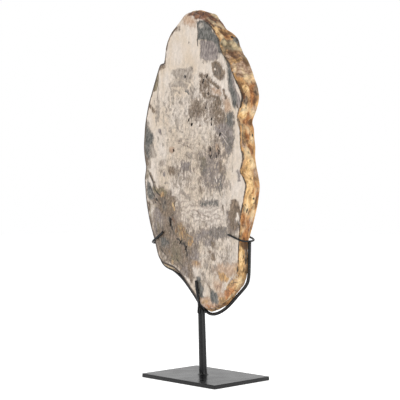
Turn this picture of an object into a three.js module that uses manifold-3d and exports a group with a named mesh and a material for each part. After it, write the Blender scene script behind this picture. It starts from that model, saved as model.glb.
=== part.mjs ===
import * as THREE from 'three';
import { mergeVertices } from 'three/addons/utils/BufferGeometryUtils.js';
import Module from 'manifold-3d';

// A polished slice of petrified wood, standing in a black steel cradle on a post and a base plate.
// Millimetres, +Z up. X runs along the slab and along the long edge of the plate, and the face that
// is shown looks toward -Y. The origin is the centre of the plate's underside.

// Driving sizes
const BASE = { length: 160, depth: 120, thickness: 6, corner: 1, edge: 0.5 };
const POST = {
  footX: -4.3, topX: -8.3, footDiameter: 12.5, topDiameter: 11, weldDiameter: 18, weldHeight: 2.5,
  rodZ: 113.5, seat: 1.6,
};
const ROD = 5;
const LEFT_WIRE = 4;
const RIGHT_WIRE = 3;
const BOTTOM_WIRE = 4;
const GAP = 0.3;
const WIRE_GAP = 0.25;
const SLAB = { thickness: 30, stations: 160, backEdge: 1.2 };
const RIM_ROWS = 11;
const ROD_STEPS = 72;
const ROD_SIDES = 10;
const CLIP_STEPS = 26;
const PRONG_STEPS = 18;
const WIRE_SIDES = 8;
const FACE_Y = -SLAB.thickness / 2;
const WELD_ANGLE = THREE.MathUtils.degToRad(37);

// Outline of the polished face, clockwise from the top as seen from the front. Each station gives
// x and z, the width of the rolled lip round the face, and how far the rim stands outside the
// face's edge at half the thickness (belly) and at the back (back).
const OUTLINE = [
  [-5, 559, 5, 9, 9.5], [5, 554.5, 4, 8, 7.5], [13, 550, 3, 6, 7], [21, 545, 2, 4, 5.5],
  [30, 537, 1.5, 3, 3.5], [38, 527, 1, 4, 9], [43.5, 515, 1, 7, 15], [48.5, 502, 1, 8, 15],
  [56.5, 491, 1, 9, 13.5], [65.5, 480, 1, 8, 14], [72, 467, 1, 7, 14], [79, 454, 1, 6, 12],
  [86, 443, 1, 6, 11], [91, 430, 1, 6, 9], [88, 417, 1, 5, 8], [83, 404, 1, 6, 7],
  [83, 393, 1, 3, 3.5], [87, 383, 1, 2, 2.5], [88, 369, 1, 3, 2.5], [89, 355, 1, 3, 3.5],
  [93, 341, 1, 2, -1], [91, 330, 1, 4, 3], [88, 319, 1, 7, 8.5], [94, 310, 1, 4, 5],
  [99, 299, 1, 3, 2], [97, 287, 1, 4, 3], [94, 274, 1, 4, 4], [90, 260, 1, 4, 4],
  [88, 247, 1, 3, 2], [87, 235, 1, 3, -1], [86, 222, 1, 3, -5], [85, 209, 1, 5, -9],
  [84, 195, 1, 6, -11], [84, 181, 1.5, 6, -11], [81, 169, 3, 8, -9], [76, 158, 5, 8, -7],
  [69, 149, 6, 7, -5], [61, 140, 6, 7, -4], [52, 132, 6, 7.5, -4], [43, 125, 6, 9, -3],
  [33, 119.5, 6, 9, -3], [22, 117, 6, 10, -3], [12, 118, 5, 11, -2], [4, 123, 4, 11.5, -1],
  [-5, 129, 2, 11, 0], [-13, 137, 2, 10.5, 1], [-22, 146, 2, 10.5, 2], [-31, 155, 2, 10.5, 3],
  [-42, 164, 2, 10.5, 4], [-54, 171, 2, 10.5, 5], [-67, 175, 2, 10, 5], [-79, 178, 2, 10.5, 6],
  [-88, 185, 2, 10, 6], [-93, 195, 2, 9, 6], [-97.5, 209, 2, 8.5, 6], [-103.5, 224, 2, 8.5, 5],
  [-109.5, 240, 2, 9, 4], [-114.5, 257, 2, 8, 3], [-118.5, 275, 2, 8, 2], [-121, 293, 2, 7, 1],
  [-122.5, 311, 2, 7, 0], [-119.5, 329, 2, 8, 0], [-122.5, 345, 2, 7, 0], [-124.5, 362, 2, 6, -1],
  [-123.5, 380, 2, 6, -2], [-121.5, 398, 2, 6, -2], [-117.5, 416, 2, 6, -3], [-112.5, 433, 2, 6, -4],
  [-106, 448, 2, 6, -4], [-99, 464, 2, 5, -5], [-92, 480, 2, 5, -5], [-86, 491, 2, 4, -5],
  [-77.5, 493, 2.5, 5, -4], [-74, 502, 3, 5, -4], [-72, 515, 3, 5, -4], [-67.5, 527.5, 3, 5, -3],
  [-59.5, 538.5, 3, 6, -2], [-49, 546.5, 3, 6, 0], [-39, 554.5, 4, 8, 10], [-27, 561, 6, 9, 15],
  [-15, 561.5, 6, 9, 11],
];

// Single lumps (height over 0) and hollows (under 0) of the rim: x and z of the face's edge beside
// them, y in the thickness, reach along and across the rim, and height.
const LUMPS = [
  [28, 541, 5, 9, 9, 2.5], [36, 530, 4, 6, 12, -1.8], [52, 498, 12, 9, 5, 2.2],
  [80, 452, 6, 8, 6, 2], [88, 441, -4, 9, 4, 2.5], [88, 437, -11.5, 16, 2, -4.5],
  [90, 424, -3, 7, 4, -2.2], [85, 411, -6, 7, 5, 2.2], [84, 408, 11, 7, 5, 2.2],
  [83, 393, 11, 5, 6, -2.5], [87, 381, 0, 9, 4, 1.8], [88, 364, 7, 10, 4, 1.6],
  [90, 350, -2, 8, 4, 1.8], [92, 333, 5, 9, 5, 1.8], [95, 312, -2, 10, 5, 2],
  [98, 297, 8, 9, 5, 2], [95, 283, -12, 20, 1.6, -2.2], [96, 276, 2, 9, 4, 1.8],
  [91, 259, 7, 10, 5, 1.6], [88, 243, -4, 9, 4, 1.6], [86, 226, 3, 8, 5, -1.4],
];

// Open pits of the polished face: x, z, half width, half length, turn in degrees, depth.
const PITS = [
  [-29, 469, 1.8, 2.4, 0, 1.6], [10, 459, 1.8, 5, 25, 2.2], [19, 466, 1.6, 4.5, 30, 2],
  [21, 439, 2.2, 3.4, 10, 2], [-22, 401, 1.8, 4.5, 35, 2.2], [-15, 394, 2.6, 3.4, 20, 2.6],
  [16, 418, 2, 2.4, 0, 2], [28, 400, 1.9, 3, 10, 2.2], [28, 392, 1.7, 3, -10, 1.8],
  [46, 376, 2.3, 3.6, 25, 2.4], [-56, 355, 2.4, 2.8, 0, 2], [26, 354, 1.5, 4, 5, 2.2],
  [27, 344, 1.5, 4, 20, 2], [44, 349, 1.7, 5, 15, 2.4], [39, 343, 1.4, 4, 0, 2],
  [-63, 242, 2.6, 8.5, 8, 4], [-40, 211, 2, 5, 35, 2.6], [-28, 202, 2, 5, 30, 2.6],
];

// Centre lines of the bent rod and wires
const ROD_ROUTE = [
  [93.8, 0, 213.4], [93.4, 0, 196], [93, 0, 178], [92.2, 0, 163.6], [90.3, 0, 155],
  [85.6, 0, 147.8], [76.8, 0, 139.4], [66.4, 0, 130.2], [56, 0, 120.7], [46.4, 0, 113.2],
  [36.7, 0, 107.4], [25.8, 0, 102.9], [17.1, 0, 101.2], [9.5, 0, 101.8], [3, 0, 104.8],
  [-2.8, 0, 109.4], [-8.5, 0, 113.7], [-14.1, 0, 118.2], [-20.1, 0, 125], [-31.3, 0, 136.4],
  [-42.7, 0, 147], [-52, 0, 154.4], [-61.4, 0, 160.4], [-70.9, 0, 165.1], [-81, 0, 168.1],
  [-89.5, 0, 171.4], [-96.7, 0, 177.2], [-101.7, 0, 186], [-106, 0, 196], [-109, 0, 205],
];
const LEFT_CLIP_ROUTE = [
  [-77.5, -17.3, 226], [-92, -17.3, 216.3], [-99, -17.3, 212], [-105.5, -13.5, 209.3],
  [-109.5, -5, 207.8], [-109.5, 5, 207.8], [-106, 13.5, 209.5], [-99, 17.3, 213], [-84, 17.3, 222],
];
const RIGHT_CLIP_ROUTE = [
  [65, -16.8, 225], [78, -16.8, 221], [87, -16.8, 218.2], [91.8, -12.5, 216.2],
  [93.3, -4, 215.3], [93, 4, 215.4], [91, 12, 216.6], [85, 16.8, 218.6], [74, 16.8, 222.5],
];
const FRONT_PRONG_ROUTE = [
  [-2.8, -17.3, 153], [-0.6, -17.3, 138], [1.4, -17.3, 130], [2.4, -16.6, 122.5],
  [0, -13.6, 114], [-4, -10.2, 107.5], [-6.6, -8, 102],
];
const BACK_PRONG_ROUTE = FRONT_PRONG_ROUTE.map(([x, y, z]) => [x, -y, z]);

const STONE = new THREE.MeshStandardMaterial({ color: 0xcbbfb2, roughness: 0.35, metalness: 0 });
const STEEL = new THREE.MeshStandardMaterial({ color: 0x1b1b1c, roughness: 0.45, metalness: 0.4 });

// Smooth blend from 0 to 1
function blend(t) {
  const c = THREE.MathUtils.clamp(t, 0, 1);
  return c * c * (3 - 2 * c);
}

// Value of every column of the closed outline at position t (in stations), by a Catmull-Rom curve
function outlineAt(t) {
  const count = OUTLINE.length;
  const i = Math.floor(t);
  const f = t - i;
  const [p0, p1, p2, p3] = [-1, 0, 1, 2].map((k) => OUTLINE[(i + k + count) % count]);
  return p1.map((v, k) => 0.5 * (2 * v + (p2[k] - p0[k]) * f
    + (2 * p0[k] - 5 * v + 4 * p2[k] - p3[k]) * f * f
    + (3 * v - p0[k] - 3 * p2[k] + p3[k]) * f * f * f));
}

// Outline station with its outward direction, taken over the neighbouring stations
function stationAt(t) {
  const count = OUTLINE.length;
  const [x, z, lip, belly, back] = outlineAt(t);
  const before = outlineAt((t - 1.2 + count) % count);
  const after = outlineAt((t + 1.2) % count);
  const run = Math.hypot(after[0] - before[0], after[1] - before[1]);
  return { x, z, lip, belly, back, nx: -(after[1] - before[1]) / run, nz: (after[0] - before[0]) / run };
}

// How deep behind the face the rolled lip ends
function lipDepthOf(station) {
  return 0.4 + 0.45 * station.lip;
}

// How far the smooth rim stands outside the face's edge at depth d behind the face
function rimOffset(station, d) {
  const half = SLAB.thickness / 2;
  const lipDepth = lipDepthOf(station);
  if (d <= lipDepth) {
    return station.lip * Math.sqrt(1 - (1 - d / lipDepth) ** 2);
  }
  if (d <= half) {
    return THREE.MathUtils.lerp(station.lip, station.belly, blend((d - lipDepth) / (half - lipDepth)));
  }
  const rounded = d >= SLAB.thickness ? SLAB.backEdge : 0;
  const toBack = blend((d - half) / (half - SLAB.backEdge));
  return THREE.MathUtils.lerp(station.belly, station.back, toBack) - rounded;
}

// Bark relief of the rim: flutes along the trunk, knobs, and the single lumps
function barkRelief(x, y, z) {
  const wander = 1.3 * Math.sin(z / 19 + x / 23);
  const strength = 0.6 + 0.4 * Math.sin(z / 31 + x / 17);
  const flutes = 0.9 * strength * Math.sin(y / 2.2 + wander);
  const knobs = 0.8 * Math.sin(z / 6.1 + x / 9.7 + 1.1 * Math.sin(y / 5));
  const swells = 0.6 * Math.sin(z / 13 - x / 8 + y / 7);
  let height = flutes + knobs + swells;
  for (const [cx, cz, cy, along, across, size] of LUMPS) {
    const away = ((x - cx) ** 2 + (z - cz) ** 2) / along ** 2 + ((y - cy) / across) ** 2;
    height += size * Math.exp(-away);
  }
  return height;
}

// Relief fades out toward the polished front and back so their edges stay clean
function reliefFade(d) {
  return blend(d / 4) * (0.35 + 0.65 * blend((SLAB.thickness - d) / 4));
}

// Depths of the rim's rows behind the face for one station
function rimDepths(station) {
  const lipDepth = lipDepthOf(station);
  const inner = SLAB.thickness - SLAB.backEdge - lipDepth;
  const rows = [0, 0.35 * lipDepth, lipDepth];
  for (let k = 1; k <= RIM_ROWS; k += 1) {
    rows.push(lipDepth + (inner * k) / RIM_ROWS);
  }
  rows.push(SLAB.thickness);
  return rows;
}

// The whole slab: rows of the rim from the face's edge to the back's edge, closed by two flat caps
function slabGeometry() {
  const positions = [];
  const frontLoop = [];
  const backLoop = [];
  let rows = 0;
  for (let i = 0; i < SLAB.stations; i += 1) {
    const station = stationAt((i * OUTLINE.length) / SLAB.stations);
    const depths = rimDepths(station);
    rows = depths.length;
    depths.forEach((d, row) => {
      const y = FACE_Y + d;
      const smooth = rimOffset(station, d);
      const relief = barkRelief(station.x, y, station.z) * reliefFade(d) * (row === rows - 1 ? 0 : 1);
      const x = station.x + station.nx * (smooth + relief);
      const z = station.z + station.nz * (smooth + relief);
      positions.push(x, y, z);
      if (row === 0) {
        frontLoop.push(new THREE.Vector2(x, z));
      }
      if (row === rows - 1) {
        backLoop.push(new THREE.Vector2(x, z));
      }
    });
  }
  const index = [];
  for (let i = 0; i < SLAB.stations; i += 1) {
    const here = i * rows;
    const next = ((i + 1) % SLAB.stations) * rows;
    for (let row = 0; row < rows - 1; row += 1) {
      index.push(here + row, next + row, here + row + 1, next + row, next + row + 1, here + row + 1);
    }
  }
  for (const [a, b, c] of THREE.ShapeUtils.triangulateShape(frontLoop, [])) {
    index.push(a * rows, b * rows, c * rows);
  }
  for (const [a, b, c] of THREE.ShapeUtils.triangulateShape(backLoop, [])) {
    index.push(a * rows + rows - 1, c * rows + rows - 1, b * rows + rows - 1);
  }
  const geometry = new THREE.BufferGeometry();
  geometry.setAttribute('position', new THREE.Float32BufferAttribute(positions, 3));
  geometry.setIndex(index);
  return geometry;
}

// A shallow bowl to cut from the face for one pit
function pitGeometry([x, z, halfWidth, halfLength, turn, depth]) {
  const pit = new THREE.IcosahedronGeometry(1, 1);
  pit.scale(halfWidth, depth, halfLength);
  pit.rotateY(THREE.MathUtils.degToRad(-turn));
  pit.translate(x, FACE_Y, z);
  return pit;
}

// Round bar of one diameter along a list of points
function barGeometry(route, diameter, steps, sides) {
  const section = new THREE.Shape();
  section.absarc(0, 0, diameter / 2, 0, 2 * Math.PI);
  const curve = new THREE.CatmullRomCurve3(route.map((p) => new THREE.Vector3(...p)), false, 'centripetal');
  return new THREE.ExtrudeGeometry(section, {
    steps, curveSegments: sides / 2, extrudePath: curve, bevelEnabled: false,
  });
}

// Geometry as a solid for cutting, and a solid back as geometry
const wasm = await Module();
wasm.setup();

function toSolid(geometry) {
  const bare = geometry.clone();
  bare.deleteAttribute('normal');
  bare.deleteAttribute('uv');
  const merged = mergeVertices(bare, 1e-4);
  return new wasm.Manifold(new wasm.Mesh({
    numProp: 3,
    vertProperties: new Float32Array(merged.getAttribute('position').array),
    triVerts: new Uint32Array(merged.getIndex().array),
  }));
}

function toGeometry(solid) {
  const { vertProperties, triVerts, numProp } = solid.getMesh();
  const positions = new Float32Array((vertProperties.length / numProp) * 3);
  for (let i = 0; i < positions.length / 3; i += 1) {
    positions.set(vertProperties.subarray(i * numProp, i * numProp + 3), i * 3);
  }
  const geometry = new THREE.BufferGeometry();
  geometry.setAttribute('position', new THREE.BufferAttribute(positions, 3));
  geometry.setIndex([...triVerts]);
  geometry.computeVertexNormals();
  return geometry;
}

// Leaning, slightly tapered post with a weld collar at its foot and a slanted saddle for the rod
function postGeometry() {
  const footZ = BASE.thickness + GAP;
  const topZ = POST.rodZ - POST.seat / Math.cos(WELD_ANGLE);
  const weldRadius = POST.weldDiameter / 2;
  const footRadius = POST.footDiameter / 2;
  const profile = [
    [0, footZ], [weldRadius, footZ], [weldRadius - 1.2, footZ + 1.2], [footRadius, footZ + POST.weldHeight],
    [POST.topDiameter / 2, topZ], [0, topZ],
  ].map(([r, z]) => new THREE.Vector2(r, z));
  const post = new THREE.LatheGeometry(profile, 24);
  post.rotateX(Math.PI / 2);
  const points = post.getAttribute('position');
  for (let i = 0; i < points.count; i += 1) {
    const z = points.getZ(i);
    const x = points.getX(i);
    const lean = POST.footX + ((POST.topX - POST.footX) * (z - footZ)) / (topZ - footZ);
    points.setX(i, x + lean);
    if (z > topZ - 1) {
      points.setZ(i, topZ - x * Math.tan(WELD_ANGLE));
    }
  }
  const rod = barGeometry(ROD_ROUTE, ROD + 2 * GAP, ROD_STEPS, ROD_SIDES);
  return toGeometry(toSolid(post).subtract(toSolid(rod)));
}

// Flat plate with lightly broken edges
function baseGeometry() {
  const { length, depth, thickness, corner, edge } = BASE;
  const [halfX, halfY] = [length / 2 - edge, depth / 2 - edge];
  const plate = new THREE.Shape();
  plate.moveTo(-halfX + corner, -halfY);
  plate.lineTo(halfX - corner, -halfY);
  plate.absarc(halfX - corner, -halfY + corner, corner, -Math.PI / 2, 0);
  plate.absarc(halfX - corner, halfY - corner, corner, 0, Math.PI / 2);
  plate.absarc(-halfX + corner, halfY - corner, corner, Math.PI / 2, Math.PI);
  plate.absarc(-halfX + corner, -halfY + corner, corner, Math.PI, 1.5 * Math.PI);
  const geometry = new THREE.ExtrudeGeometry(plate, {
    depth: thickness - 2 * edge, bevelEnabled: true, bevelThickness: edge, bevelSize: edge,
    bevelSegments: 1, curveSegments: 3,
  });
  geometry.translate(0, 0, edge);
  return geometry;
}

// The slab with its pits, kept clear of the rod and the wires by the gap
function finishedSlab() {
  let slab = toSolid(slabGeometry());
  for (const pit of PITS) {
    slab = slab.subtract(toSolid(pitGeometry(pit)));
  }
  for (const [, route, diameter, steps, sides] of BARS) {
    const gap = route === ROD_ROUTE ? GAP : WIRE_GAP;
    slab = slab.subtract(toSolid(barGeometry(route, diameter + 2 * gap, steps, sides)));
  }
  return toGeometry(slab);
}

function named(name, geometry, material) {
  const mesh = new THREE.Mesh(geometry, material.clone());
  mesh.name = name;
  return mesh;
}

// Every bar of the cradle: name, route, diameter, steps along it and sides round it
const BARS = [
  ['cradle_rod', ROD_ROUTE, ROD, ROD_STEPS, ROD_SIDES],
  ['left_clip', LEFT_CLIP_ROUTE, LEFT_WIRE, CLIP_STEPS, WIRE_SIDES],
  ['right_clip', RIGHT_CLIP_ROUTE, RIGHT_WIRE, CLIP_STEPS, WIRE_SIDES],
  ['bottom_front_prong', FRONT_PRONG_ROUTE, BOTTOM_WIRE, PRONG_STEPS, WIRE_SIDES],
  ['bottom_back_prong', BACK_PRONG_ROUTE, BOTTOM_WIRE, PRONG_STEPS, WIRE_SIDES],
];

const stand = new THREE.Group();
stand.add(named('base_plate', baseGeometry(), STEEL));
stand.add(named('post', postGeometry(), STEEL));
for (const [name, route, diameter, steps, sides] of BARS) {
  stand.add(named(name, barGeometry(route, diameter, steps, sides), STEEL));
}

const object = new THREE.Group();
object.add(stand);
object.add(named('petrified_wood_slab', finishedSlab(), STONE));

export default object;
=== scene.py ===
"""Petrified wood on stand: the finished stone and steel surfaces and the studio, built round the frame.

Tables of places and sizes are in millimetres, as in the part's source, and MM turns them to Blender's
metres. X runs along the slab, the shown face looks toward -Y, and the plate stands on Z = 0.
"""
import itertools
import math

import bpy
import mathutils
import numpy as np
from bpy.props import FloatProperty, IntProperty, PointerProperty
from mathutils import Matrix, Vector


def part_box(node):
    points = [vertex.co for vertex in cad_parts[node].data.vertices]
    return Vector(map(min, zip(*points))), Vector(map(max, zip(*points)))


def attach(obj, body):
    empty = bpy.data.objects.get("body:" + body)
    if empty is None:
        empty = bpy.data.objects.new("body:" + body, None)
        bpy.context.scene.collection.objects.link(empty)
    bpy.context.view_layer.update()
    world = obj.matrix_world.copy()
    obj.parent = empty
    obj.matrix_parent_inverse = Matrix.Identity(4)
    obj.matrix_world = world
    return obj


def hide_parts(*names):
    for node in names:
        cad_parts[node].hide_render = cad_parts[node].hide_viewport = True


bl_info = {
    "name": "Petrified Wood on Stand",
    "version": (1, 0, 0),
    "blender": (4, 5, 0),
    "location": "View3D > Sidebar > Stone",
    "description": "A polished slice of petrified wood in a black steel cradle",
    "category": "Object",
}

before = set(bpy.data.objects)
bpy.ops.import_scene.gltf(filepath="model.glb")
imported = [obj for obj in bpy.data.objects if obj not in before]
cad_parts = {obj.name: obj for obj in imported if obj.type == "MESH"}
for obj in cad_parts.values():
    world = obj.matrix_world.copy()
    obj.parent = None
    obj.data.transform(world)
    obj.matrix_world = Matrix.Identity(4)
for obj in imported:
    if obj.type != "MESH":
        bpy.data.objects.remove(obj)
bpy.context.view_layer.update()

MM = 0.001
BODY = "root"
PLATE_LOW, PLATE_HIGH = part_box("base_plate")

# Outline of the polished face, clockwise from the top as seen from the front. Each station gives
# x and z, the width of the rolled lip round the face, and how far the rim stands outside the
# face's edge at half the thickness (belly) and at the back (back).
OUTLINE = np.array([
    (-5, 559, 5, 9, 9.5), (5, 554.5, 4, 8, 7.5), (13, 550, 3, 6, 7), (21, 545, 2, 4, 5.5),
    (30, 537, 1.5, 3, 3.5), (38, 527, 1, 4, 9), (43.5, 515, 1, 7, 15), (48.5, 502, 1, 8, 15),
    (56.5, 491, 1, 9, 13.5), (65.5, 480, 1, 8, 14), (72, 467, 1, 7, 14), (79, 454, 1, 6, 12),
    (86, 443, 1, 6, 11), (91, 430, 1, 6, 9), (88, 417, 1, 5, 8), (83, 404, 1, 6, 7),
    (83, 393, 1, 3, 3.5), (87, 383, 1, 2, 2.5), (88, 369, 1, 3, 2.5), (89, 355, 1, 3, 3.5),
    (93, 341, 1, 2, -1), (91, 330, 1, 4, 3), (88, 319, 1, 7, 8.5), (94, 310, 1, 4, 5),
    (99, 299, 1, 3, 2), (97, 287, 1, 4, 3), (94, 274, 1, 4, 4), (90, 260, 1, 4, 4),
    (88, 247, 1, 3, 2), (87, 235, 1, 3, -1), (86, 222, 1, 3, -5), (85, 209, 1, 5, -9),
    (84, 195, 1, 6, -11), (84, 181, 1.5, 6, -11), (81, 169, 3, 8, -9), (76, 158, 5, 8, -7),
    (69, 149, 6, 7, -5), (61, 140, 6, 7, -4), (52, 132, 6, 7.5, -4), (43, 125, 6, 9, -3),
    (33, 119.5, 6, 9, -3), (22, 117, 6, 10, -3), (12, 118, 5, 11, -2), (4, 123, 4, 11.5, -1),
    (-5, 129, 2, 11, 0), (-13, 137, 2, 10.5, 1), (-22, 146, 2, 10.5, 2), (-31, 155, 2, 10.5, 3),
    (-42, 164, 2, 10.5, 4), (-54, 171, 2, 10.5, 5), (-67, 175, 2, 10, 5), (-79, 178, 2, 10.5, 6),
    (-88, 185, 2, 10, 6), (-93, 195, 2, 9, 6), (-97.5, 209, 2, 8.5, 6), (-103.5, 224, 2, 8.5, 5),
    (-109.5, 240, 2, 9, 4), (-114.5, 257, 2, 8, 3), (-118.5, 275, 2, 8, 2), (-121, 293, 2, 7, 1),
    (-122.5, 311, 2, 7, 0), (-119.5, 329, 2, 8, 0), (-122.5, 345, 2, 7, 0), (-124.5, 362, 2, 6, -1),
    (-123.5, 380, 2, 6, -2), (-121.5, 398, 2, 6, -2), (-117.5, 416, 2, 6, -3), (-112.5, 433, 2, 6, -4),
    (-106, 448, 2, 6, -4), (-99, 464, 2, 5, -5), (-92, 480, 2, 5, -5), (-86, 491, 2, 4, -5),
    (-77.5, 493, 2.5, 5, -4), (-74, 502, 3, 5, -4), (-72, 515, 3, 5, -4), (-67.5, 527.5, 3, 5, -3),
    (-59.5, 538.5, 3, 6, -2), (-49, 546.5, 3, 6, 0), (-39, 554.5, 4, 8, 10), (-27, 561, 6, 9, 15),
    (-15, 561.5, 6, 9, 11),
])
TOP_STATION = -1
BOTTOM_STATION = 41

# Single lumps (height over 0) and hollows (under 0) of the rim: x and z of the face's edge beside
# them, y in the thickness, reach along and across the rim, and height.
LUMPS = (
    (28, 541, 5, 9, 9, 2.5), (36, 530, 4, 6, 12, -1.8), (52, 498, 12, 9, 5, 2.2),
    (80, 452, 6, 8, 6, 2), (88, 441, -4, 9, 4, 2.5), (88, 437, -11.5, 16, 2, -4.5),
    (90, 424, -3, 7, 4, -2.2), (85, 411, -6, 7, 5, 2.2), (84, 408, 11, 7, 5, 2.2),
    (83, 393, 11, 5, 6, -2.5), (87, 381, 0, 9, 4, 1.8), (88, 364, 7, 10, 4, 1.6),
    (90, 350, -2, 8, 4, 1.8), (92, 333, 5, 9, 5, 1.8), (95, 312, -2, 10, 5, 2),
    (98, 297, 8, 9, 5, 2), (95, 283, -12, 20, 1.6, -2.2), (96, 276, 2, 9, 4, 1.8),
    (91, 259, 7, 10, 5, 1.6), (88, 243, -4, 9, 4, 1.6), (86, 226, 3, 8, 5, -1.4),
    (7, 553, 12, 9, 7, 6.5), (63, 142, 2, 8, 9, 1), (48, 129, 2, 9, 9, 1),
)

# Open pits of the polished face: x, z, half width, half length, turn in degrees, depth.
PITS = (
    (-29, 469, 1.4, 2.2, 0, 1.6), (10, 459, 1.3, 4.6, 25, 2.2), (19, 466, 1.2, 4, 30, 2),
    (21, 439, 1.7, 3, 10, 2), (-22, 401, 1.4, 4.2, 35, 2.2), (-15, 394, 2, 3.2, 20, 2.6),
    (16, 418, 1.5, 2.2, 0, 2), (28, 400, 1.4, 2.8, 10, 2.2), (28, 392, 1.3, 2.6, -10, 1.8),
    (46, 376, 1.8, 3.4, 25, 2.4), (-56, 355, 1.9, 2.6, 0, 2), (26, 354, 1.2, 4, 5, 2.2),
    (27, 344, 1.2, 3.8, 20, 2), (44, 349, 1.3, 4.6, 15, 2.4), (39, 343, 1.1, 3.8, 0, 2),
    (-63, 242, 2, 8.5, 8, 4), (-40, 211, 1.5, 4.6, 35, 2.6), (-28, 202, 1.5, 4.6, 30, 2.6),
)

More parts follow.
